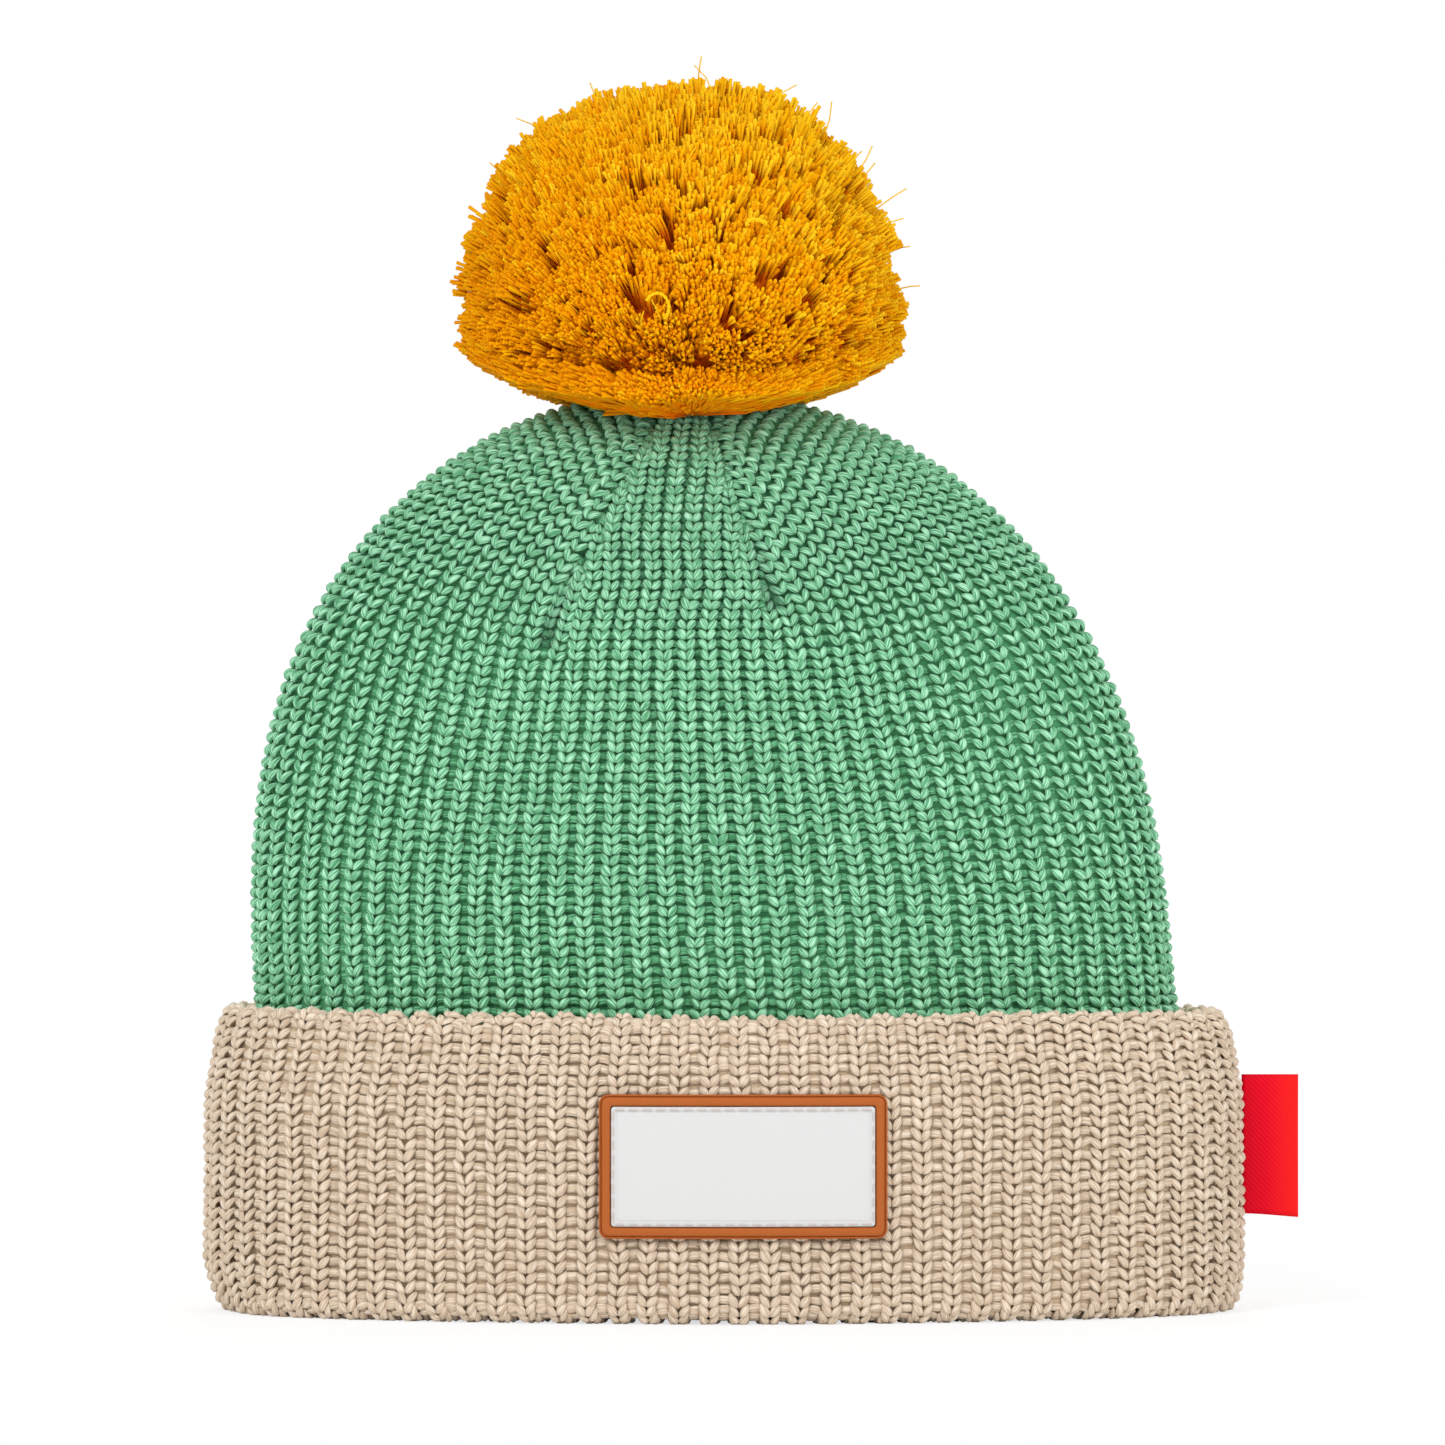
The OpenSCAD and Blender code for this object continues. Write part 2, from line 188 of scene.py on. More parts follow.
DART_TUCK = 2.4       # the ribs within this of a dart are drawn together towards it
DART_GAP = 0.35       # they keep this from its line, and up to twice as much near its foot
GROOVE, GROOVE_WIDTH = 2.1, 1.6     # depth and width of a dart's crease
DIMPLE, DIMPLE_SPREAD = 2.4, 10     # depth at its foot, and the square of the dimple's reach


def tucked(at, side, way):
    """Points drawn away from a dart's line to its way side (1 right, -1 left).

    Also tells which of them the dart leaves, and what share of its width each rib keeps.
    """
    x, z = at[..., 0], at[..., 2]
    away = way * (x - dart_x(side, z))
    gap = DART_GAP * (1 + np.exp(-((z - DARTS[side]["foot"][1] - 4) / 6) ** 2))
    pushed = np.where(np.abs(away) < DART_TUCK, (away + DART_TUCK) / 2, away) + gap * (away < 5)
    moved = at.copy()
    moved[..., 0] += way * (pushed - away)
    a, b = half_axes(z.ravel())
    share = np.clip((moved[..., 0].ravel() - lean_x(z.ravel())) / a, -1, 1)
    moved[..., 1] = np.sign(at[..., 1]) * (b * np.sqrt(1 - share**2)).reshape(z.shape)
    return moved, away > -DART_TUCK, np.clip(pushed / DART_TUCK, 0.5, 1)


def dart_groove(points):
    """How far the fabric is drawn in along the darts and at their feet."""
    x, z = points[:, 0], points[:, 2]
    depth = np.zeros(len(points))
    for side, dart in DARTS.items():
        away = (x - dart_x(side, z)) * 0.9
        begun = smooth((z - dart["foot"][1] + 6) / 10)
        depth += GROOVE * begun * np.exp(-(away / GROOVE_WIDTH) ** 2)
        foot = (x - dart["foot"][0]) ** 2 + (z - dart["foot"][1]) ** 2
        depth += DIMPLE * np.exp(-foot / DIMPLE_SPREAD)
    return depth


# ---- meshes made from many small tubes ----


class Tube:
    """A closed tube of rings with a pointed tip at each end, and its faces and flat map."""

    def __init__(self, rings, sides):
        self.rings, self.sides = rings, sides
        self.size = rings * sides + 2
        tip, end = rings * sides, rings * sides + 1
        faces, flat = [], []
        for j in range(sides):
            k = (j + 1) % sides
            u, v = j / sides, (j + 1) / sides
            step = 1 / (rings + 1)
            faces.append([tip, k, j])
            flat.append([((u + v) / 2, 0), (v, step), (u, step)])
            for i in range(rings - 1):
                low, high = i * sides, (i + 1) * sides
                faces.append([low + j, low + k, high + k, high + j])
                at, up = (i + 1) * step, (i + 2) * step
                flat.append([(u, at), (v, at), (v, up), (u, up)])
            last = (rings - 1) * sides
            faces.append([end, last + j, last + k])
            flat.append([((u + v) / 2, 1), (u, 1 - step), (v, 1 - step)])
        self.corners = np.array([c for f in faces for c in f])
        self.totals = np.array([len(f) for f in faces])
        self.flat = np.array([c for f in flat for c in f])
        self.t = np.linspace(0, 1, rings)
        self.phi = round_angles(sides)

    def copies(self, count):
        """Vertex numbers and face sizes of many such tubes."""
        return (self.corners + (np.arange(count) * self.size)[:, None]).ravel(), np.tile(self.totals, count)

    def points(self, centre, across, lift, radius, tips):
        """centre, across and lift are (n, rings, 3), radius is (n, rings, sides), tips is (n, 2, 3)."""
        side = np.sin(self.phi)[None, None, :, None]
        up = -np.cos(self.phi)[None, None, :, None]
        skin = centre[:, :, None] + radius[..., None] * (across[:, :, None] * side + lift[:, :, None] * up)
        return np.concatenate([skin.reshape(len(centre), -1, 3), tips], axis=1)


def tube_tips(centre, run, first, last):
    """Points that stand out of the tubes' first and last rings by these lengths."""
    return np.stack([centre[:, 0] - run[:, 0] * first, centre[:, -1] + run[:, -1] * last], axis=1)


def mesh_object(name, points, corners, totals, maps, material, body):
    mesh = bpy.data.meshes.new(name)
    mesh.vertices.add(len(points))
    mesh.vertices.foreach_set("co", (points * MM).astype(np.float32).ravel())
    mesh.loops.add(len(corners))
    mesh.loops.foreach_set("vertex_index", corners.astype(np.int32))
    mesh.polygons.add(len(totals))
    starts = np.concatenate([[0], np.cumsum(totals)[:-1]]).astype(np.int32)
    mesh.polygons.foreach_set("loop_start", starts)
    for label, values in maps.items():
        layer = mesh.uv_layers.new(name=label)
        layer.uv.foreach_set("vector", values.astype(np.float32).ravel())
    mesh.update(calc_edges=True)
    mesh.shade_smooth()
    mesh.materials.append(material)
    thing = bpy.data.objects.new(name, mesh)
    bpy.context.collection.objects.link(thing)
    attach(thing, body)
    return thing


def tubes_object(name, tube, skins, material, body):
    """One object of many tubes that share a pattern. skins is (n, tube.size, 3)."""
    count = len(skins)
    across = int(math.ceil(math.sqrt(count)))
    cell = columns(np.arange(count) % across, np.arange(count) // across)
    inside = 0.06 + 0.88 * tube.flat
    bake = (cell[:, None] + inside[None]) / across
    strand = tube.flat[None] + rng.integers(0, 200, (count, 1, 2))
    maps = {"OFBake": bake.reshape(-1, 2), "strand": strand.reshape(-1, 2)}
    return mesh_object(name, skins.reshape(-1, 3), *tube.copies(count), maps, material, body)


# ---- yarn legs and purl bumps in a stitch's own frame ----

LEG = Tube(6, 8)
BUMP = Tube(4, 6)
STRANDS = np.array([1.0, 0.86] * 4)    # the fine ridges of a multi-strand yarn
LEG_PLUMP = np.array([0.55, 0.88, 1.0, 1.0, 0.88, 0.6])
BUMP_PLUMP = np.array([0.75, 1.0, 1.0, 0.75])


class Stitches:
    """Stitch places with their frames: U across the rib, V up it, N out of the fabric."""

    def __init__(self, place, u, v, n, width, height):
        self.place, self.u, self.v, self.n = place, u, v, n
        self.width, self.height = width, height

    def keep(self, chosen):
        return Stitches(*[part[chosen] for part in
                          (self.place, self.u, self.v, self.n, self.width, self.height)])

    def pieces(self, most):
        """The same stitches in lots of no more than most."""
        lots = np.array_split(np.arange(len(self)), math.ceil(len(self) / most))
        return [self.keep(lot) for lot in lots]

    def __len__(self):
        return len(self.place)

    def world(self, local):
        """Points (n, m, 3) in the stitch's frame, moved to where the stitch is."""
        return (self.place[:, None] + local[..., :1] * self.u[:, None]
                + local[..., 1:2] * self.v[:, None] + local[..., 2:] * self.n[:, None])


class Knit:
    """How a knit's stitches are shaped: heights as shares of a row, the rest in millimetres."""

    def __init__(self, reach, foot, head, radius, sink, bump_radius, bump_sink):
        self.reach, self.foot, self.head = reach, foot, head
        self.radius, self.sink = radius, sink
        self.bump_radius, self.bump_sink = bump_radius, bump_sink

    def half_v(self, stitches):
        """Distance from a rib's middle to the head of a leg."""
        steady, share, least, most = self.reach
        usual = np.maximum(steady + share * stitches.width, least * stitches.width)
        return np.minimum(usual, most * stitches.width)

    def stretch(self, stitches):
        """Yarn gets a little thinner where the rows are drawn apart."""
        return np.clip(2.4 / stitches.height, 0.93, 1.0)


CROWN_KNIT = Knit(reach=(1.22, 0.06, 0.29, 0.44), foot=-0.48, head=0.38, radius=0.87, sink=-0.60,
                  bump_radius=0.88, bump_sink=-1.95)
CUFF_KNIT = Knit(reach=(0.0, 0.275, 0.275, 0.44), foot=-0.52, head=0.46, radius=0.90, sink=-0.7,
                 bump_radius=1.0, bump_sink=-1.65)

# Where a leg's foot, belly and head lie: how far out from the rib's middle, and over the knit's sink.
FOOT_OUT, FOOT_OVER = 0.27, 0.22
BELLY_OUT, BELLY_SHARE, BELLY_LOW, BELLY_OVER = 0.30, 0.42, -0.06, 0.62
HEAD_OVER = -0.50
BUMP_ARCH, BUMP_RISE = 0.5, 0.45      # how far a purl bump's middle lies above and outside its ends


def yarn_skins(stitches, tube, centre, skin_r, point, flatness):
    """Yarn along centre lines (n, rings, 3) in the stitches' frames. point is how long its tips are."""
    run = unit(np.gradient(centre, axis=1))
    across = unit(np.cross(run, [0.0, 0.0, 1.0]))
    lift = unit(np.cross(across, run)) * flatness
    tips = tube_tips(centre, run, point, point)
    return stitches.world(tube.points(centre, across, lift, skin_r, tips))


def leg_skins(stitches, side, knit):
    """One leg of every V: side is -1 for the left leg and 1 for the right one.

    A leg is a curve from its foot over its belly to its head, in millimetres in the stitch's frame.
    """
    n = len(stitches)
    h, sink = stitches.height, knit.sink
    reach = knit.half_v(stitches)
    foot = columns(side * (FOOT_OUT + jitter(n, 0.06)), knit.foot * h + jitter(n, 0.09),
                   sink + FOOT_OVER + jitter(n, 0.05))
    belly = columns(side * (BELLY_OUT + BELLY_SHARE * reach + jitter(n, 0.07)),
                    BELLY_LOW * h + jitter(n, 0.07), sink + BELLY_OVER + jitter(n, 0.09))
    head = columns(side * (reach + jitter(n, 0.09)), knit.head * h + jitter(n, 0.10),
                   sink + HEAD_OVER + jitter(n, 0.08))
    t = LEG.t[:, None]
    bend = 2 * belly - 0.5 * (foot + head)
    centre = ((1 - t) ** 2) * foot[:, None] + 2 * t * (1 - t) * bend[:, None] + t * t * head[:, None]
    size = knit.radius * knit.stretch(stitches) * (1 + jitter(n, 0.07))
    ridges = STRANDS * (1 + jitter((n, 1, LEG.sides), 0.05))
    skin_r = size[:, None, None] * LEG_PLUMP[:, None] * ridges
    return yarn_skins(stitches, LEG, centre, skin_r, 0.5 * knit.radius, 0.8)


def bump_skins(stitches, knit):
    """The purl bump between this rib and the next, level with the gap between two legs' heads."""
    n = len(stitches)
    mid = 0.5 * stitches.width
    high = -0.1 * stitches.height
    sink = (knit.bump_sink - 0.15 * np.clip(5.6 - stitches.width, 0, 1.3))[:, None]
    reach = np.maximum(mid - knit.half_v(stitches) + 0.15, 0.35)[:, None]
    t = BUMP.t * 2 - 1
    centre = np.zeros((n, BUMP.rings, 3))
    centre[..., 0] = mid[:, None] + reach * t + jitter(n, 0.08)[:, None]
    centre[..., 1] = high[:, None] + BUMP_ARCH * (1 - t * t) + jitter(n, 0.18)[:, None] * t
    centre[..., 1] += jitter(n, 0.09)[:, None]
    centre[..., 2] = sink + BUMP_RISE * (1 - t * t) + jitter(n, 0.1)[:, None]
    size = knit.bump_radius * knit.stretch(stitches)
    skin_r = size[:, None, None] * BUMP_PLUMP[:, None] * (1 + jitter((n, 1, BUMP.sides), 0.06))
    return yarn_skins(stitches, BUMP, centre, skin_r, 0.3, 0.7)


# ---- rows and ribs of the crown ----


SIDE, FRONT = 0, 1


def outline_run(which, start):
    """Heights above start, and the length of the body's side or front outline from start to each."""
    z = np.linspace(start, KNIT_END_Z, 3000)
    return z, line_length(columns(half_axes(z)[which], z))


def outline_heights(which, start, step):
    """Heights at which the outline has gone whole steps of its own length."""
    z, run = outline_run(which, start)
    return np.interp(np.arange(1, int(run[-1] / step) + 1) * step, run, z)


ROW_START = 58.0
ROW_RISE = 13.0       # how much higher a row is at the side line than at the darts' feet
SIDE_COURSE = 2.7     # rows open out along the side line
low_rows = np.arange(ROW_START, FREEZE_Z, COURSE)
low_sides = low_rows + ROW_RISE * 2 * smooth((low_rows - 70) / (2 * (FREEZE_Z - 70)))
high_sides = outline_heights(SIDE, low_sides[-1], SIDE_COURSE)
inner_z, inner_run = outline_run(FRONT, low_rows[-1])
high_share = np.linspace(0, 1, len(high_sides) + 1)[1:] ** 0.97
high_inner = np.interp(high_share * inner_run[-1], inner_run, inner_z)
high_middle = outline_heights(FRONT, low_rows[-1], COURSE)


def crown_crowding(z):
    """How much closer together the ribs are in the middle of a face than the average."""
    return -0.03 + 0.13 * smooth((z - 80) / 64)


CUFF_CROWDING = 0.05


def along_face(rib, crowding):
    """Where rib number rib lies along a face, in average ribs from the side line."""
    return rib + WALES * crowding * np.sin(2 * math.pi * np.clip(rib / WALES, -1, 1)) / (2 * math.pi)


FREEZE_BLEND = 20.0


def rib_pitch(z):
    """Average width of a rib: it follows the section's length up to FREEZE_Z, then gently stops."""
    t = np.clip((z - FREEZE_Z) / FREEZE_BLEND, 0, 1)
    return half_round(np.minimum(z, FREEZE_Z) + FREEZE_BLEND * (t - t * t / 2)) / WALES


def crown_grid(rib, z, end, face):
    """Points for ribs counted from the side line at end, at heights z of the same shape."""
    flat_z = z.ravel()
    a, b = half_axes(flat_z)
    d = along_face(rib.ravel(), crown_crowding(flat_z)) * rib_pitch(flat_z)
    return on_tube(d, a, b, lean_x(flat_z), flat_z, end, face).reshape(*z.shape, 3)


def middle_grid(rib, z, face):
    """Points of the panel between the darts, for ribs counted from its middle.

    At FREEZE_Z each rib is where crown_grid puts it, and above that it eases to an even pitch.
    """
    flat_z = z.ravel()
    a, b = half_axes(flat_z)
    mid_x = (dart_x("left", flat_z) + dart_x("right", flat_z)) / 2
    angle = np.arccos(np.clip((mid_x - lean_x(flat_z)) / -a, -1, 1))
    total = section_lengths(a, b)
    place = angle / math.pi * SECTION_STEPS
    k = np.clip(place.astype(int), 0, SECTION_STEPS - 1)
    row = np.arange(len(flat_z))
    at = total[row, k] + (total[row, k + 1] - total[row, k]) * (place - k)
    own = rib.ravel()
    even = at + own * rib_pitch(flat_z) * (1 - crown_crowding(flat_z))
    below = along_face(own + MIDDLE_RIB, crown_crowding(FREEZE_Z)) * rib_pitch(flat_z)
    eased = smooth((flat_z - FREEZE_Z) / 24)
    d = below + (even - below) * eased
    return on_tube(d, a, b, lean_x(flat_z), flat_z, -1, face).reshape(*z.shape, 3)


MIDDLE_RIB = (LEFT_WALES + WALES - RIGHT_WALES) / 2
HIGHEST_ROW, WIDEST_RIB = 3.0, 6.9


def grid_stitches(point_at, ribs, z, clockwise, tucks=()):
    """Stitches on a grid of rows (axis 0) and ribs (axis 1).

    Each tuck names a dart, the side of it that this panel lies on and the ribs that are the panel's
    own below the dart's foot. Above the foot the dart cuts the ribs off. clockwise tells the way in
    which the ribs are counted.
    """
    rib = np.broadcast_to(ribs[None, :], z.shape) + jitter(z.shape, 0.025)
    at = point_at(rib, z)
    kept = np.full(z.shape, True)
    share = np.ones(z.shape)
    for side, way, own in tucks:
        foot_z = DARTS[side]["foot"][1]
        moved, left, narrowed = tucked(at, side, way)
        begun = smooth((at[..., 2] - foot_z + 6) / 8) * left
        kept &= np.where(at[..., 2] < foot_z + 2, own[None, :], left)
        share = share * (1 + (narrowed - 1) * begun)
        at = at + (moved - at) * begun[..., None]
    up = np.gradient(at, axis=0)
    beside = (point_at(rib + 0.25, z) - point_at(rib - 0.25, z)).reshape(-1, 3)
    flat = at.reshape(-1, 3)
    v = unit(up.reshape(-1, 3))
    n = unit(np.cross(unit(beside) * (-1 if clockwise else 1), v))
    u = np.cross(v, n)
    width = np.minimum(np.abs((beside * u).sum(axis=1)) * 2, WIDEST_RIB) * share.ravel()
    height = np.minimum(np.linalg.norm(up, axis=2).ravel(), HIGHEST_ROW)
    soft = 0.5 * np.sin(flat[:, 0] / 17 + 1) * np.sin(flat[:, 2] / 23 + 2)
    place = flat - n * (dart_groove(flat) + 0.4 - soft * 0.6)[:, None]
    return Stitches(place, u, v, n, width, height).keep(kept.ravel())


def crown_stitches():
    """Parts of the crown's knit: for each face the two side panels and the middle one."""
    parts = []
    inner = np.concatenate([low_rows, high_inner])
    outer = np.concatenate([low_sides, high_sides])
    middle_half = WALES / 2 - (LEFT_WALES + RIGHT_WALES) / 2
    for face in (-1, 1):
        for end, panel, side in ((-1, LEFT_WALES, "left"), (1, RIGHT_WALES, "right")):
            ribs = np.arange(panel + 6) + 0.5
            climb = smooth(np.clip(1 - ribs / panel, 0, 1))
            z = inner[:, None] + (outer - inner)[:, None] * climb[None, :]
            parts.append(grid_stitches(lambda r, y: crown_grid(r, y, end, face), ribs, z, end * face < 0,
                                       [(side, end, ribs < panel)]))
        ribs = np.arange(LEFT_WALES, WALES - RIGHT_WALES) + 0.5
        own = np.full(len(ribs), True)
        z = np.broadcast_to(low_rows[:, None], (len(low_rows), len(ribs)))
        parts.append(grid_stitches(lambda r, y: crown_grid(r, y, -1, face), ribs, z, face > 0,
                                   [("left", 1, own), ("right", -1, own)]))
        ribs = np.arange(15) - 7.0
        z = np.broadcast_to(high_middle[:, None], (len(high_middle), len(ribs)))
        parts.append(grid_stitches(lambda r, y: middle_grid(r, y, face), ribs, z, face > 0,
                                   [("left", 1, ribs > -middle_half), ("right", -1, ribs < middle_half)]))
    return parts


# ---- materials ----


def rgb(r, g, b):
    """A colour written in 0 to 255 display values, as the linear colour that Blender wants."""
    def linear(c):
        c = c / 255
        return c / 12.92 if c <= 0.04045 else ((c + 0.055) / 1.055) ** 2.4
    return (linear(r), linear(g), linear(b), 1.0)


def new_material(name, colour, rough=0.9, sheen=0.0, shine=0.15):
    made = bpy.data.materials.new(name)
    made.use_nodes = True
    shader = made.node_tree.nodes["Principled BSDF"]
    shader.inputs["Base Color"].default_value = colour
    shader.inputs["Roughness"].default_value = rough
    shader.inputs["Sheen Weight"].default_value = sheen
    shader.inputs["Specular IOR Level"].default_value = shine
    return made, shader


def plain_look(name, colour, **settings):
    return new_material(name, colour, **settings)[0]


class Shading:
    """The node tree of a material or of the world, with short ways to fill it."""

    def __init__(self, owner):
        self.nodes, self.links = owner.node_tree.nodes, owner.node_tree.links

    def add(self, kind, inputs, output=0, **settings):
        """A new node. Its inputs are values, or outputs of other nodes. Returns the named output."""
        node = self.nodes.new("ShaderNode" + kind)
        for name, value in settings.items():
            setattr(node, name, value)
        for name, value in inputs.items():
            if isinstance(value, bpy.types.NodeSocket):
                self.links.new(value, node.inputs[name])
            else:
                node.inputs[name].default_value = value
        return node.outputs[output]

    def ramp(self, amount, *stops):
        """The colour of an amount from 0 to 1, from (position, colour) stops."""
        node = self.nodes.new("ShaderNodeValToRGB")
        self.links.new(amount, node.inputs["Fac"])
        elements = node.color_ramp.elements
        for element, (position, colour) in zip(elements, (stops[0], stops[-1])):
            element.position, element.color = position, colour
        for position, colour in stops[1:-1]:
            elements.new(position).color = colour
        return node.outputs["Color"]

    def carried(self, value, start, end, to_start, to_end, how="LINEAR"):
        """A value carried from the range between start and end to another one."""
        names = ("Value", "From Min", "From Max", "To Min", "To Max")
        inputs = dict(zip(names, (value, start, end, to_start, to_end)))
        return self.add("MapRange", inputs, "Result", interpolation_type=how)

    def plug(self, value, node, name):
        """Leads a value into a node that was there from the start."""
        self.links.new(value, node.inputs[name])


def yarn_material(name, dark, middle, light, top_painted_light=1.0):
    """Fine strands that run along each leg, read from the strand map.

    The last argument is the share of its colour's brightness that the yarn keeps at the crown's top:
    painted shade on the top, where the light falls on it squarely. Yarn that has it also gets painted
    shade in the darts' creases.
    """
    made, shader = new_material(name, middle, rough=0.92, sheen=0.1)
    tree = Shading(made)
    where = tree.add("UVMap", {}, "UV", uv_map="strand")
    stretched = tree.add("Mapping", {"Vector": where, "Scale": (15, 1.3, 1)}, "Vector")
    noise = tree.add("TexNoise", {"Vector": stretched, "Scale": 1.0, "Detail": 3.0}, "Fac",
                     noise_dimensions="2D")
    colour = tree.ramp(noise, (0.4, dark), (0.5, middle), (0.62, light))
    # Painted shade: the yarn's colour is scaled down at the crown's top and in the darts' creases.
    if top_painted_light < 1:
        painted_light_left = crown_painted_light(tree, top_painted_light)
        colour = tree.add("VectorMath", {0: colour, "Scale": painted_light_left}, "Vector", operation="SCALE")
    tree.plug(colour, shader, "Base Color")
    return made


PAINTED_TOP_SHADE_HEIGHTS = (0.140, 0.162)      # metres: where the painted top shade starts and where it is full
PAINTED_CREASE_EDGES = (0.0006, 0.0030)     # metres from a crease's middle: full painted shade, and no more painted shade
CREASE_STEP = 3.0                   # the painted shade is set at every such step up from a dart's foot
CREASE_PAINTED_LIGHT = (0.55, 0.72, 0.80, 0.84, 0.88, 0.92)     # and the painted shade leaves this share of the light


def crown_painted_light(tree, top_painted_light):
    """Share of its colour's brightness that the yarn keeps at each place of the crown's front and back:
    painted shade at the top and in the darts' creases.
    """
    place = tree.add("TexCoord", {}, "Object")
    height = tree.add("SeparateXYZ", {"Vector": place}, "Z")
    light = tree.carried(height, *PAINTED_TOP_SHADE_HEIGHTS, 1.0, top_painted_light)
    flat = tree.add("VectorMath", {0: place, 1: (1, 0, 1)}, "Vector", operation="MULTIPLY")
    for side, dart in DARTS.items():
        for step, left in enumerate(CREASE_PAINTED_LIGHT):
            z = dart["foot"][1] + CREASE_STEP * step
            spot = (dart_x(side, z) * MM, 0, z * MM)
            away = tree.add("VectorMath", {0: flat, 1: spot}, "Value", operation="DISTANCE")
            shade = tree.carried(away, *PAINTED_CREASE_EDGES, left, 1.0, "SMOOTHSTEP")
            light = tree.add("Math", {0: light, 1: shade}, "Value", operation="MULTIPLY")
    return light


# Painted shade: the green yarn keeps this share of its brightness at the crown's top.
GREEN_TOP_PAINTED_LIGHT = 0.90
GREEN = yarn_material("green_yarn", rgb(84, 152, 109), rgb(126, 191, 149), rgb(170, 226, 191), GREEN_TOP_PAINTED_LIGHT)
# Darker copy of the green yarn for the purl bumps: painted shade of the valleys between the ribs.
GREEN_VALLEY_SHADED = yarn_material("green_yarn_valley_shaded", rgb(68, 136, 92), rgb(94, 164, 119), rgb(128, 196, 152),
                           GREEN_TOP_PAINTED_LIGHT)
BEIGE = yarn_material("beige_yarn", rgb(192, 171, 147), rgb(210, 191, 169), rgb(225, 210, 192))
# Slightly darker copy of the beige yarn for the cuff's purl bumps: painted shade of its valleys.
BEIGE_VALLEY_SHADED = yarn_material("beige_yarn_valley_shaded", rgb(192, 171, 146), rgb(208, 189, 166), rgb(224, 209, 191))
GREEN_BACK = plain_look("green_back", rgb(78, 146, 102))
BEIGE_BACK = plain_look("beige_back", rgb(202, 180, 152))

# ---- the crown ----

STITCHES_PER_OBJECT = 1000


def knit_objects(name, parts, knit, material, shaded_valley, body):
    """V legs and purl bumps of every part, split so that no object gets too heavy. The purl bumps take a
    darker copy of the yarn: painted shade of the valleys between the ribs.
    """
    made = []
    lots = [lot for part in parts for lot in part.pieces(STITCHES_PER_OBJECT)]
    for number, lot in enumerate(lots):
        legs = np.concatenate([leg_skins(lot, -1, knit), leg_skins(lot, 1, knit)])
        made.append(tubes_object(f"{name}_v_{number + 1}", LEG, legs, material, body))
        bumps = bump_skins(lot, knit)
        made.append(tubes_object(f"{name}_purl_{number + 1}", BUMP, bumps, shaded_valley, body))
    return made


crown = knit_objects("crown", crown_stitches(), CROWN_KNIT, GREEN, GREEN_VALLEY_SHADED, "beanie")
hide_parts("crown_shell")


def ring_quads(m, n, closed):
    """Corners of the faces between m rings of n points, and the ring and point that each starts at."""
    i, j = np.meshgrid(np.arange(m if closed else m - 1), np.arange(n), indexing="ij")
    near, far, step = i * n, ((i + 1) % m) * n, (j + 1) % n
    return columns(near + j, near + step, far + step, far + j).reshape(-1, 4), i, j


def ring_surface(name, rings, material, body, closed=True):
    """A skin through rings of points, (m, n, 3). closed joins the last ring to the first one."""
    m, n = rings.shape[:2]
    quads, i, j = ring_quads(m, n, closed)
    flat = np.stack([columns(j, i), columns(j + 1, i), columns(j + 1, i + 1), columns(j, i + 1)], axis=2)
    flat = flat.reshape(-1, 2) / np.array([n, m])
    return mesh_object(name, rings.reshape(-1, 3), quads.ravel(), np.full(len(quads), 4), {"OFBake": flat},
                       material, body)


def crown_ring(z, inset, side_inset, sunk=0.0):
    """A ring of the crown's backing. sunk is how far it follows the darts inwards at the most."""
    a, b = half_axes(np.array([z]))
    angle = round_angles(600)
    ring = columns(lean_x(z) + (a - side_inset) * np.cos(angle), (b - inset) * np.sin(angle), z + 0 * angle)
    ring[:, 1] -= np.sign(ring[:, 1]) * np.minimum(0.6 * dart_groove(ring), sunk)
    return ring


DOME_HEIGHT = 46      # the backing's rings get closer together over this height
dome_heights = CROWN_TOP - DOME_HEIGHT * (1 - np.sin(np.linspace(0.02, 1.35, 26)))
back_heights = np.concatenate([np.arange(CROWN_LOW[2], 150, 3.0), dome_heights])
outer = [crown_ring(z, inset=2.6, side_inset=1.6, sunk=1.2) for z in back_heights]
inner = [crown_ring(z, inset=WALL, side_inset=WALL) for z in back_heights[::-1]]
ring_surface("crown_backing", np.stack(outer + inner), GREEN_BACK, "beanie")

# ---- the cuff ----


def arc_points(centre, radius, start, end, steps):
    angle = np.radians(np.linspace(start, end, steps + 1))
    return columns(centre[0] + radius * np.cos(angle), centre[1] + radius * np.sin(angle))


def cuff_path():
    """The visible side of the cuff's fabric, in [offset from the body, height].

    It runs down the inside, round the fold, up the outside and over the bead at the top.
    """
    fold_in = FLARE - INNER_PLY
    bead = (CUFF_PROUD - CUFF_LEAN - BEAD_R, CUFF_TOP - BEAD_R)
    z = np.linspace(PLY_TOP, FOLD_R + 0.5, 40)
    inside = columns(flare(z) - INNER_PLY, z)
    face = np.array([[CUFF_PROUD, CUFF_TOP * 0.7]])
    return np.concatenate([
        inside, arc_points((fold_in + FOLD_R, FOLD_R), FOLD_R, 180, 270, 16),
        arc_points((CUFF_PROUD - FOLD_R, FOLD_R), FOLD_R, 270, 360, 16), face,
        arc_points(bead, BEAD_R, 0, 150, 24)])


CUFF_ENDS = 0.86                    # they start at this share of the cuff's half width
LOW_LEFT_IN, LOW_RIGHT_IN = 3.0, 1.3
TOP_LEFT_IN, TOP_RIGHT_IN = 1.2, 1.8
TOP_SAG = 1.0


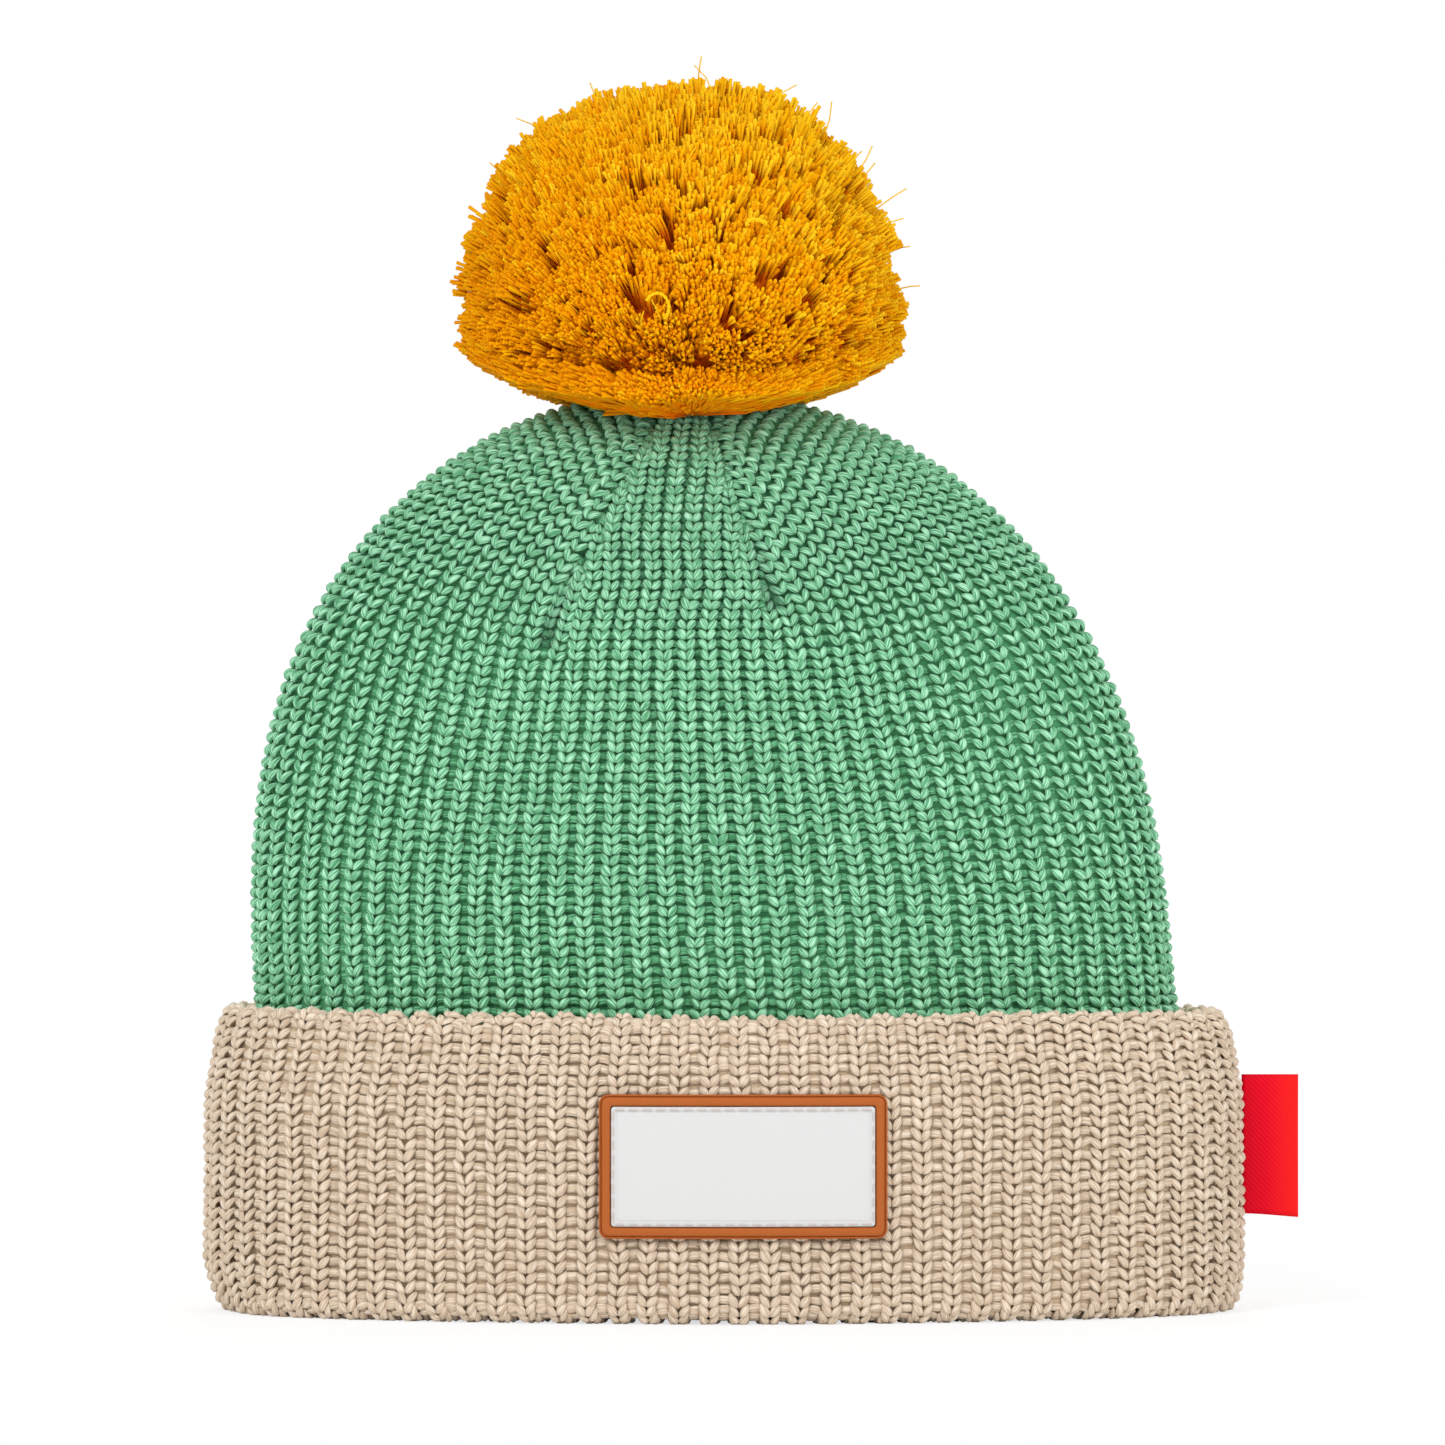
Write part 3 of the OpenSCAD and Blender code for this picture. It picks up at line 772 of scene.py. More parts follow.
def settled(at):
    """The cuff as worn soft: its corners drawn in at both ends, most at the lower left, its top lower."""
    x, z = at[:, 0], at[:, 2]
    ending = smooth((np.abs(x) / CUFF_HIGH[0] - CUFF_ENDS) / (1 - CUFF_ENDS))
    low = np.where(x < 0, LOW_LEFT_IN, LOW_RIGHT_IN) * smooth(1 - z / 12)
    high = np.where(x < 0, TOP_LEFT_IN, TOP_RIGHT_IN) * smooth((z - CUFF_TOP + 6) / 6)
    outside = smooth((np.hypot(x / BODY_A, at[:, 1] / BODY_B) - 1.0) / 0.06)
    moved = at.copy()
    moved[:, 0] -= np.sign(x) * ending * (low + high) * outside
    moved[:, 2] -= TOP_SAG * smooth((z - CUFF_TOP + 14) / 14) * smooth((x + 95) / 35) * outside
    return moved


def cuff_grid(rib, s, face, path, run):
    offset, z = [np.interp(s.ravel(), run, part) for part in path.T]
    a, b = BODY_A + offset, BODY_B + offset
    d = along_face(rib.ravel(), CUFF_CROWDING) * section_lengths(a, b)[:, -1] / WALES
    at = on_tube(d, a, b, 0 * z, z, -1, face)
    return settled(at).reshape(*s.shape, 3)


def cuff_stitches():
    path = cuff_path()
    run = line_length(path)
    rows = np.arange(0.8, run[-1], CUFF_COURSE)
    s = np.broadcast_to(rows[:, None], (len(rows), WALES))
    ribs = np.arange(WALES) + 0.5
    return [grid_stitches(lambda r, y: cuff_grid(r, y, face, path, run), ribs, s, face > 0)
            for face in (-1, 1)]


UNDER_STITCHES = 2.1


def cuff_backing():
    """A thinner fabric under the stitches, so that no light comes through between them."""
    path = cuff_path()
    along = unit(np.gradient(path, axis=0))
    seen = path - UNDER_STITCHES * columns(along[:, 1], -along[:, 0])
    inner_face = CUFF_PROUD - OUTER_PLY
    z = np.linspace(PLY_TOP / 3, PLY_TOP, 8)
    hidden = np.concatenate([
        [[inner_face - CUFF_LEAN, CUFF_TOP - BEAD_R], [inner_face, CUFF_TOP * 0.7],
         [inner_face, BETWEEN_PLIES], [flare(BETWEEN_PLIES), BETWEEN_PLIES]],
        columns(flare(z), z)])
    angle = round_angles(164)
    rings = [columns((BODY_A + offset) * np.cos(angle), (BODY_B + offset) * np.sin(angle), height + 0 * angle)
             for offset, height in np.concatenate([seen, hidden])]
    ring_surface("cuff_backing", np.stack([settled(ring) for ring in rings]), BEIGE_BACK, "beanie")


cuff_backing()
cuff = knit_objects("cuff", cuff_stitches(), CUFF_KNIT, BEIGE, BEIGE_VALLEY_SHADED, "beanie")
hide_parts("cuff")

# ---- the pompom ----

BOBBLE_R = (BOBBLE_HIGH[0] - BOBBLE_LOW[0]) / 2
BELT_Z = PIVOT[2] + 21.5            # where the pompom is widest
DOME = BOBBLE_HIGH[2] - 1.5 - BELT_Z
BELLY = 23.0                        # how far the same round form would reach down below the belt
DOME_POWER, BELLY_POWER = 2.1, 2.6
BINDING_Z = PIVOT[2] + 7.5
UNDERSIDE_Z = PIVOT[2] - 3.2
NEARLY_FLAT_R = 25                  # the underside rises gently up to here, and then steeply
GENTLE, STEEP = 0.16, 0.5
LEFT_DRIFT = 1.6                    # the tips hang a little to the left of the binding
PLY = Tube(4, 3)
PLIES = 3
STRAND_COUNT, STRAND_LOWEST = 17500, -0.17
TUFT_COUNT, TUFT_LOWEST = 520, -0.22
SKIRT_COUNT = 3600
bobble_root = np.array([PIVOT[0], 0.0, BINDING_Z])


def underside(rho, front):
    """Height of the pompom's lower surface at rho from its middle; front is 1 before and behind it."""
    rise = GENTLE * np.minimum(rho, NEARLY_FLAT_R) + STEEP * np.maximum(rho - NEARLY_FLAT_R, 0)
    return UNDERSIDE_Z + rise * (1 - 0.6 * front)


def frontness(x, y):
    """0 at the pompom's two sides and 1 in front of and behind its middle."""
    return smooth(np.abs(y) / np.maximum(np.hypot(x, y), 1e-6))


def bobble_reach(way):
    """Distance from the binding to the trimmed surface along unit vectors way."""
    low, high = np.zeros(len(way)), np.full(len(way), 90.0)
    front = frontness(way[:, 0], way[:, 1])
    for _ in range(24):
        middle = (low + high) / 2
        at = way * middle[:, None]
        away = np.hypot(at[:, 0], at[:, 1])
        rise = at[:, 2] + BINDING_Z - BELT_Z
        tall = np.where(rise > 0, DOME, BELLY)
        power = np.where(rise > 0, DOME_POWER, BELLY_POWER)
        outside = (away / BOBBLE_R) ** power + (np.abs(rise) / tall) ** power > 1
        outside |= (away > 12) & (at[:, 2] + BINDING_Z < underside(away, front))
        high = np.where(outside, middle, high)
        low = np.where(outside, low, middle)
    return low


def even_ways(count, lowest):
    """Unit vectors spread evenly over the sphere above elevation sine lowest."""
    k = np.arange(count) + 0.5
    up = 1 - (1 - lowest) * k / count
    turn = math.pi * (1 + 5**0.5) * k
    flat = np.sqrt(1 - up * up)
    return columns(flat * np.cos(turn), flat * np.sin(turn), up)


def swirl(way):
    """A slow sideways drift over the pompom, which opens small partings."""
    x, y, z = way.T * 3.1
    return columns(np.sin(1.7 * y + 0.4) * np.cos(2.1 * z), np.sin(2.3 * z + 1.9) * np.cos(1.3 * x + 2),
                   np.sin(1.9 * x + 0.7) * np.cos(1.6 * y + 1))


TERRACES = 4.6        # wavy steps to every radian of climb up the pompom
TERRACE = 0.10        # the deepest of them, as a share of a strand's length


def terraced(way):
    """Share of its length that each strand lacks: the surface steps out along a few wavy lines."""
    climb, turn = np.arcsin(np.clip(way[:, 2], -1, 1)), np.arctan2(way[:, 1], way[:, 0])
    wave = 0.8 * np.sin(2.6 * turn + 0.9) + 0.5 * np.sin(5.1 * turn + 2.0 + 2 * climb)
    level = TERRACES * climb + wave * np.cos(climb)
    strong = smooth(0.5 + 0.7 * np.sin(1.9 * turn + 3.0 * climb + 0.6))
    return TERRACE * strong * (level - np.floor(level)) ** 2


def clear_of_crown(line, gap):
    """Lift points that would lie inside the crown until they are just above its stitches."""
    flat = line.reshape(-1, 3).copy()
    for _ in range(40):
        a, b = half_axes(flat[:, 2])
        inside = (((flat[:, 0] - lean_x(flat[:, 2])) / (a + gap)) ** 2 + (flat[:, 1] / (b + gap)) ** 2) < 1
        inside &= flat[:, 2] < CROWN_TOP + gap
        flat[inside, 2] += 0.5
    return flat.reshape(line.shape)


STRAND_T = np.array([0.50, 0.78, 0.92, 1.0])
TO_TUFT, DRIFT, COMBED_UP = 0.26, 0.045, 0.10     # what bends the tips: tufts, swirl and combing
OVER_CROWN = 1.5      # strands keep this far off the crown's surface


def hung(line, t):
    """Strands that hang a little to the left and lie on the crown where they meet it."""
    line[..., 0] -= LEFT_DRIFT * t**2
    return clear_of_crown(line, OVER_CROWN)


def strand_lines():
    """Centre lines (n, rings, 3) of the pompom's cut strands, from inside it to their tips."""
    way = unit(even_ways(STRAND_COUNT, STRAND_LOWEST) + jitter((STRAND_COUNT, 3), 0.02))
    tuft = unit(even_ways(TUFT_COUNT, TUFT_LOWEST) + jitter((TUFT_COUNT, 3), 0.05))
    own = (way @ tuft.T).argmax(axis=1)
    reach = bobble_reach(way) * (0.98 - terraced(way) + jitter(len(way), 0.016))
    reach = reach + jitter(TUFT_COUNT, 0.85)[own]
    combed_up = COMBED_UP * frontness(way[:, 0], way[:, 1])[:, None] * np.array([0, 0, 1])
    tip_way = unit(way + TO_TUFT * (tuft[own] - way) + DRIFT * swirl(way) + combed_up
                   + jitter((TUFT_COUNT, 3), 0.035)[own] + jitter(way.shape, 0.028))
    bent = unit(way[:, None] + (tip_way - way)[:, None] * (STRAND_T**2.2)[:, None])
    line = bobble_root + bent * (reach[:, None] * STRAND_T)[..., None]
    x, y = line[..., 0] - bobble_root[0], line[..., 1]
    line[..., 2] = np.maximum(line[..., 2], underside(np.hypot(x, y), frontness(x, y)))
    return hung(line, STRAND_T)


WAIST_HALF = 19       # the skirt's strands start within this of the pompom's middle, front to back
SKIRT_SHORT, SKIRT_SHORT_IN_FRONT = 1.8, 7      # how much shorter than the pompom's radius they end


def skirt_lines():
    """Strands of the underside: they lie against the trimmed cone, from the binding outwards."""
    turn = rng.uniform(0, 2 * math.pi, SKIRT_COUNT)
    flat = columns(np.cos(turn), np.sin(turn))
    start = WAIST_HALF * np.sign(flat[:, 1]) * smooth(1.6 * np.abs(flat[:, 1]))
    end = BOBBLE_R - SKIRT_SHORT + jitter(SKIRT_COUNT, 0.9)
    end = end - SKIRT_SHORT_IN_FRONT * frontness(flat[:, 0], flat[:, 1])
    end = np.where(rng.random(SKIRT_COUNT) < 0.3, end * rng.uniform(0.6, 1, SKIRT_COUNT), end)
    t = np.array([0.08, 0.4, 0.75, 1.0])
    x = flat[:, :1] * end[:, None] * t
    y = start[:, None] * (1 - t) + flat[:, 1:] * end[:, None] * t
    level = rng.uniform(0, 1, SKIRT_COUNT)[:, None] ** 1.5
    z = underside(np.hypot(x, y), frontness(x, y)) + 0.4 + 5.0 * level * t
    z = z - 1.2 * np.exp(-((x + 7) / 6) ** 2) + jitter(z.shape, 0.25)
    line = columns(bobble_root[0] + x, y, z)
    line[..., :2] += jitter((SKIRT_COUNT, 4, 2), 0.35) * t[:, None]
    return hung(line, t)


PLY_SPREAD = 0.26 * np.array([1.0, 1.0, 1.25, 2.25])     # the plies' distance from their strand
PLY_R = 0.24
PLY_FRAY = np.array([1.0, 1.0, 1.1, 2.0])
PLY_TWIST = 1.8


def ply_skins(line):
    """Tubes of the plies that make up each strand: they wind round it and part at the tip."""
    count = len(line)
    run = unit(np.gradient(line, axis=1))
    side = unit(np.cross(run, unit(np.array([0.31, 0.22, 0.93]))))
    other = np.cross(run, side)
    start = rng.uniform(0, 2 * math.pi, count)
    skins = []
    for k in range(PLIES):
        angle = start[:, None] + 2 * math.pi * k / PLIES + PLY_TWIST * PLY.t
        off = side * np.cos(angle)[..., None] + other * np.sin(angle)[..., None]
        centre = line + off * PLY_SPREAD[:, None]
        centre[:, 1:3] += jitter((count, 2, 3), 0.12)
        centre[:, -1] += run[:, -1] * jitter((count, 1), 0.45) + jitter((count, 3), 0.22)
        size = PLY_R * (1 + jitter((count, 1, 1), 0.08)) * PLY_FRAY[:, None] * np.ones(PLY.sides)
        skins.append(PLY.points(centre, side, other, size, tube_tips(centre, run, 0, PLY_R * 0.5)))
    return np.concatenate(skins)


def plain_object(name, tube, skins, materials, body, zones=None):
    """Many tubes in plain colours, which need no map. zones gives each face of a tube its colour."""
    count = len(skins)
    thing = mesh_object(name, skins.reshape(-1, 3), *tube.copies(count), {}, materials[0], body)
    for extra in materials[1:]:
        thing.data.materials.append(extra)
    if zones is not None:
        thing.data.polygons.foreach_set("material_index", np.tile(zones, count).astype(np.int32))
    return thing


# The yarn's own uneven oranges, darkest first; they are sorted so that the lighter ones lie up and to the
# right, which is partly painted light.
ORANGES_UNEVEN_SHADE_TO_LIGHT = [rgb(232, 149, 1), rgb(234, 153, 1), rgb(235, 157, 2), rgb(236, 161, 2), rgb(238, 166, 3),
           rgb(239, 171, 5), rgb(240, 177, 8), rgb(242, 183, 14), rgb(244, 192, 24)]
PAINTED_SHADE_ZONES = np.tile([0, 0, 1, 2, 2], PLY.sides)     # root, lower, middle, upper part and tip: the root and lower part take the deepest painted shade, the middle part a lesser one


def pompom_yarn(part, colour):
    return plain_look(f"pompom_yarn_{part}", colour, shine=0.05)


# Painted shade for the inner parts of the strands: a deeper, redder orange than their tips, as their recesses
# look in shade.
shaded_depths = pompom_yarn("shaded_depths", rgb(252, 128, 0))
shaded_midway = pompom_yarn("shaded_midway", rgb(251, 148, 0))
strands = np.concatenate([strand_lines(), skirt_lines()])
painted_lightness = strands[:, -1] @ [0.36, 0.0, 0.8] + jitter(len(strands), 20)     # painted light: lighter up and to the right, mixed with the yarn's own random unevenness
shade = painted_lightness.argsort().argsort() * len(ORANGES_UNEVEN_SHADE_TO_LIGHT) // len(strands)
for number, colour in enumerate(ORANGES_UNEVEN_SHADE_TO_LIGHT):
    upper = pompom_yarn(number + 1, colour)
    plain_object(f"pompom_strands_{number + 1}", PLY, ply_skins(strands[shade == number]),
                               [shaded_depths, shaded_midway, upper], "bobble", PAINTED_SHADE_ZONES)
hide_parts("pompom")

STRAY = upper         # the lightest of the oranges
LOOSE_COUNT, LOOSE_R = 36, 0.17


def loose_lines():
    """Thin single fibres that stand out of the trimmed surface, most of them at the top right."""
    way = unit([0.30, -0.15, 0.75] + jitter((LOOSE_COUNT, 3), 0.42))
    way[:, 2] = np.abs(way[:, 2])
    long = rng.uniform(3.5, 7.5, LOOSE_COUNT)
    reach = bobble_reach(way)[:, None] + long[:, None] * np.array([-1.2, 0.0, 0.5, 1.0])
    lean = jitter((LOOSE_COUNT, 3), 0.018)
    bent = unit(way[:, None] + lean[:, None] * np.array([0, 0.2, 0.6, 1.4])[:, None])
    return bobble_root + bent * reach[..., None] - np.array([LEFT_DRIFT, 0, 0])


loose = loose_lines()
loose_side = unit(np.cross(loose[:, -1:] - loose[:, :1], np.array([0.2, 0.9, 0.3]))) * np.ones((1, 4, 1))
loose_other = np.cross(unit(np.gradient(loose, axis=1)), loose_side)
loose_size = np.full((LOOSE_COUNT, PLY.rings, PLY.sides), LOOSE_R)
loose_skins = PLY.points(loose, loose_side, loose_other, loose_size, loose[:, [0, -1]])
plain_object("pompom_loose_fibres", PLY, loose_skins, [STRAY], "bobble")


def shaded_core_material():
    """Uneven deep orange for what little shows between the strands: painted shade of the inner strands, which
    the core stands in for.
    """
    made, shader = new_material("pompom_shaded_core", rgb(250, 122, 0))
    tree = Shading(made)
    noise = tree.add("TexNoise", {"Vector": tree.add("TexCoord", {}, "Object"), "Scale": 900}, "Fac")
    tree.plug(tree.ramp(noise, (0.4, rgb(244, 108, 0)), (0.6, rgb(254, 138, 0))), shader, "Base Color")
    return made


# A sheet inside the pompom that stands for its inner strands, in the painted shade of their depths.
CORE_POINTS = 160
CORE_SHARE = 0.77      # the core reaches this far out towards the trimmed surface
angle = round_angles(CORE_POINTS)
core_rings = []
for rise in np.linspace(-0.08, 0.99, 64):
    flat = math.sqrt(1 - rise * rise)
    ways = columns(flat * np.cos(angle), flat * np.sin(angle), rise + 0 * angle)
    uneven = CORE_SHARE + jitter(CORE_POINTS, 0.035) * flat
    core_rings.append(bobble_root + ways * (uneven * bobble_reach(ways))[:, None])
ring_surface("pompom_shaded_core", np.stack(core_rings), shaded_core_material(), "bobble")

# ---- the patch ----

PATCH_X = (PATCH_LOW[0] + PATCH_HIGH[0]) / 2
PATCH_Z = (PATCH_LOW[2] + PATCH_HIGH[2]) / 2
PATCH_HALF = (PATCH_HIGH - PATCH_LOW)[[0, 2]] / 2
PLATE_HALF = (PLATE_HIGH - PLATE_LOW)[[0, 2]] / 2
CUFF_A, CUFF_B = CUFF_HIGH[0], CUFF_HIGH[1]
FRONT_R = CUFF_A**2 / CUFF_B
PATCH_BACK = 0.15
FRAME_CORNER, PLATE_CORNER = 2.0, 0.7


def rounded_outline(half, corner, per_corner=10, per_side=24):
    """Points round a rounded rectangle, with extra ones along its long sides so that it can bend."""
    turns = []
    for k, (sx, sz) in enumerate(((1, 1), (-1, 1), (-1, -1), (1, -1))):
        angle = np.radians(90 * k + np.linspace(0, 90, per_corner))
        centre = np.array([sx * (half[0] - corner), sz * (half[1] - corner)])
        turns.append(centre + corner * columns(np.cos(angle), np.sin(angle)))
    outline = []
    for k, turn in enumerate(turns):
        after = turns[(k + 1) % 4][0]
        mix = np.linspace(0, 1, per_side + 2)[1:-1, None]
        outline += [turn, turn[-1] * (1 - mix) + after * mix]
    return np.concatenate(outline)


def bent_on_cuff(outline, depth):
    """Outline points about the patch's middle, laid on the cuff's front at a depth outside it."""
    x = PATCH_X + outline[:, 0]
    radius = FRONT_R + depth
    y = FRONT_R - CUFF_B - np.sqrt(radius**2 - x**2)
    return columns(x, y, PATCH_Z + outline[:, 1])


def ringed_slab(name, half, corner, profile, material, closed):
    """A moulded piece from [inset, depth] profile points round a rounded rectangle."""
    rings = []
    for inset, depth in profile:
        size = [max(h - inset, 1e-4) for h in half]
        turn = min(max(corner - inset, 0.25 * inset), min(size))
        rings.append(bent_on_cuff(rounded_outline(size, turn), PATCH_BACK + depth))
    return ring_surface(name, np.stack(rings), material, "beanie", closed)


RUBBER = plain_look("patch_frame_rubber", rgb(169, 89, 36), rough=0.6, shine=0.2)
PLATE = plain_look("patch_plate_rubber", rgb(206, 206, 206), rough=0.6, shine=0.2)
THREAD = plain_look("sewing_thread", rgb(200, 188, 184), rough=0.7, shine=0.3)

frame_profile = [(0.05, 0.0), (0.0, 0.25), (0.0, 1.0), (0.08, 1.16), (0.22, 1.22), (0.36, 1.12), (0.42, 0.8),
                 (0.54, 0.8), (0.62, 1.4), (0.85, 1.6), (1.85, 1.6), (2.15, 1.54), (2.34, 1.36), (2.4, 1.1),
                 (2.4, 0.1)]
patch_frame = ringed_slab("patch_frame_moulded", PATCH_HALF, FRAME_CORNER, frame_profile, RUBBER, True)
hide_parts("patch_frame")
plate_profile = [(0.0, 0.85), (0.0, 1.38), (0.06, 1.48), (0.2, 1.54), (0.5, 1.56), (0.95, 1.56), (1.0, 1.51),
                 (1.15, 1.51), (1.2, 1.56), (1.5, 1.56), (4, 1.56), (8, 1.56), (PLATE_HALF[1], 1.56)]
patch_plate = ringed_slab("patch_plate_moulded", PLATE_HALF, PLATE_CORNER, plate_profile, PLATE, False)
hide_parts("patch_plate")

for node, look in (("patch_stitching", THREAD), ("label_seam_thread", BEIGE_BACK)):
    frame["nodes"][node].data.materials.clear()
    frame["nodes"][node].data.materials.append(look)

# ---- the side label: a ribbon folded on itself ----

RIBBON = 0.36
LABEL_HALF_GAP = (LABEL_HIGH[1] - LABEL_LOW[1]) / 2 - RIBBON / 2


def label_ribbon():
    """The folded ribbon as a thin closed sheet: out along one leaf, round the fold, and back."""
    root, tip = LABEL_LOW[0] - 0.7, LABEL_HIGH[0] - LABEL_HALF_GAP - RIBBON / 2
    leaf = np.linspace(root, tip, 14)
    bend = np.radians(np.linspace(-90, 90, 13))[1:-1]
    fold = columns(tip + LABEL_HALF_GAP * np.cos(bend), LABEL_HALF_GAP * np.sin(bend))
    line = np.concatenate([columns(leaf, np.full(14, -LABEL_HALF_GAP)), fold,
                           columns(leaf[::-1], np.full(14, LABEL_HALF_GAP))])
    along = unit(np.gradient(line, axis=0))
    out = columns(along[:, 1], -along[:, 0])
    run = line_length(line)
    heights = np.linspace(LABEL_LOW[2], LABEL_HIGH[2], 22)
    loops = []
    for z in heights:
        bow = 0.35 * np.sin((z - LABEL_LOW[2]) / 11) * smooth((line[:, 0] - root) / 12)
        sides = [line + out * RIBBON / 2 * sign for sign in (1, -1)]
        loop = np.concatenate([sides[0], sides[1][::-1]])
        bows = np.concatenate([bow, bow[::-1]])
        drop = (0.03 * smooth((loop[:, 0] - root) / 16) - 0.02) * (LABEL_HIGH[2] - z)
        loops.append(columns(loop[:, 0], loop[:, 1] + bows, z - drop))
    loops = np.stack(loops)
    m, n = loops.shape[:2]
    walls, _, _ = ring_quads(m, n, False)
    q = np.arange(n // 2 - 1)
    foot = columns(q, n - 1 - q, n - 2 - q, q + 1)
    top = foot[:, ::-1] + (m - 1) * n
    quads = np.concatenate([walls, foot, top])
    length = np.concatenate([run, run[::-1]])
    cloth = columns(np.tile(length, m), np.repeat(heights, n))
    corners = quads.reshape(-1)
    thing = mesh_object("label_ribbon", loops.reshape(-1, 3), corners, np.full(len(quads), 4),
                        {"cloth": cloth[corners]}, satin_material(), "label")
    return thing, run[-1]


def satin_material():
    """Fine twill that turns from deep red at the cuff to orange-red at the fold."""
    made, shader = new_material("label_ribbon", rgb(214, 6, 34), rough=0.6, shine=0.06)
    tree = Shading(made)
    width = LABEL_HIGH[0] - LABEL_LOW[0]
    where = tree.add("UVMap", {}, "UV", uv_map="cloth")
    wave = tree.add("TexWave", {"Vector": where, "Scale": 0.55, "Distortion": 0.6}, "Fac",
                    bands_direction="DIAGONAL")
    twill = tree.ramp(wave, (0.0, rgb(208, 4, 30)), (1.0, rgb(226, 12, 40)))
    along = tree.add("SeparateXYZ", {"Vector": where}, "X")
    outward = tree.add("Math", {0: along, 1: width + 2}, "Value", operation="PINGPONG")
    amount = tree.carried(outward, 4.0, width, 0.0, 0.6, "SMOOTHSTEP")
    colour = tree.add("Mix", {"Factor": amount, "A": twill, "B": rgb(236, 36, 24)}, "Result",
                      data_type="RGBA")
    tree.plug(colour, shader, "Base Color")
    return made


ribbon, ribbon_length = label_ribbon()
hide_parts("side_label")

# ---- tying yarns ----


YARN_STEP = 0.5
YARN_SIDES = 7


def plied_yarn(name, line, radius, material, body, plies=3, pitch=5.0):
    """Twisted plies along a line of points, as closed tubes."""
    run = line_length(line)
    count = max(int(run[-1] / YARN_STEP), 8)
    at = np.linspace(0, run[-1], count)
    centre = columns(*[np.interp(at, run, part) for part in line.T])
    along = unit(np.gradient(centre, axis=0))
    side = unit(np.cross(along, np.array([0.3, 0.9, 0.31])))
    other = np.cross(along, side)
    tube = Tube(count, YARN_SIDES)
    skins = []
    for k in range(plies):
        angle = 2 * math.pi * (k / plies + at / pitch)
        off = side * np.cos(angle)[:, None] + other * np.sin(angle)[:, None]
        middle = (centre + off * radius * 0.5)[None]
        size = np.full((1, count, YARN_SIDES), radius * 0.52)
        tips = tube_tips(middle, along[None], 0.2, 0.2)
        skins.append(tube.points(middle, side[None], other[None], size, tips))
    return plain_object(name, tube, np.concatenate(skins), [material], body)


def curl(x, z, size, start, end, rise):
    """A strand that has come out of the pompom's front and lies bent on it."""
    a = np.radians(np.linspace(start, end, 14))
    way = unit(columns(x + size * np.cos(a), np.full(14, -34.0), z + rise * size * np.sin(a)) - bobble_root)
    return bobble_root + way * (bobble_reach(way) + 0.7)[:, None] - np.array([LEFT_DRIFT, 0, 0])


curled = curl(x=-11.0, z=208.6, size=1.8, start=150, end=-40, rise=1.2)
plied_yarn("pompom_curl", curled, 0.42, STRAY, "bobble", plies=2, pitch=2.0)
bent = curl(x=5.7, z=223.3, size=2.3, start=200, end=50, rise=0.5)
plied_yarn("pompom_bent_strand", bent, 0.6, STRAY, "bobble", plies=2, pitch=2.4)

TIE_LOOK = plain_look("tie_yarn", rgb(236, 160, 4), shine=0.05)
SEAM_LOOK = plain_look("seam_yarn", rgb(112, 172, 132), shine=0.1)


def middle_of(node):
    low, high = box_mm(node)
    return (low + high) / 2, (high - low) / 2


def wound(node, turns, points, yarn_r, rise):
    """A line that goes round inside a node's box, turns times, and climbs by rise."""
    mid, half = middle_of(node)
    turn = np.linspace(0, 2 * math.pi * turns, points)
    radius = half[0] - yarn_r
    return columns(mid[0] + radius * np.cos(turn), radius * np.sin(turn),
                   mid[2] + (turn / turn[-1] - 0.5) * rise)


binding_rise = 2 * middle_of("pompom_binding")[1][2] - 2.2
wrap = wound("pompom_binding", 2, 90, 1.0, binding_rise)
binding = plied_yarn("pompom_binding_yarn", wrap, 1.0, TIE_LOOK, "bobble")
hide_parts("pompom_binding")

gather = wound("crown_gather_thread", 1, 60, 0.9, 0.0)
gather_yarn = plied_yarn("crown_gather_yarn", gather, 0.9, SEAM_LOOK, "beanie")
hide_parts("crown_gather_thread")

seam_low, seam_high = box_mm("side_seam")
z = np.linspace(seam_low[2], seam_high[2], 60)
drawn_in = np.sqrt(1 - np.clip((z - SHOULDER) / (CROWN_TOP - WALL - SHOULDER), 0, 1) ** SIDE_POWER)
seam = columns(lean_x(z) + (BODY_A - WALL) * drawn_in + flare(z) - 1.7, 0.35 * np.sin(z * 1.4), z)
seam_yarn = plied_yarn("side_seam_yarn", seam, 0.8, SEAM_LOOK, "beanie")
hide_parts("side_seam")


def wound_knot(centre, size, turns, seed):
    """A small yarn ball: turns of a loop that tips over as it goes round."""
    a = np.linspace(0, 2 * math.pi * turns, 40 * turns)
    tip = a / turns * 0.5 + seed
    return centre + size * columns(np.cos(a), np.sin(a) * np.cos(tip), np.sin(a) * np.sin(tip))


ANCHOR_DROP = 7.8
tie_low, _ = box_mm("pompom_tie")
anchor = PIVOT - [0, 0, ANCHOR_DROP]
tie_line = np.concatenate([
    wound_knot(anchor, 2.6, 5, 0.3), np.linspace(anchor + [0, 0, 2.8], PIVOT - [0, 0, 2.4], 8),
    wound_knot(PIVOT, 2.1, 4, 1.1)])
tie = plied_yarn("pompom_tie_yarn", tie_line, 1.1, TIE_LOOK, "tie")
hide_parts("pompom_tie")
for side, name in ((-1, "left"), (1, "right")):
    drop = np.linspace(0, anchor[2] - tie_low[2] - 0.5, 12)
    spread = side * (1.0 + np.tan(np.radians(18)) * drop + 0.4 * np.sin(drop / 3))
    end = columns(anchor[0] + spread, 0.5 * np.sin(drop / 2.5) * side, anchor[2] - drop)
    plied_yarn(f"pompom_tie_end_{name}", end, 0.9, TIE_LOOK, "tie")

# ---- light, floor and camera ----

EYE_DISTANCE = 2.0
EYE_SIDE, EYE_HEIGHT = -0.0003, 0.1253
FRAME_WIDTH = 0.3087

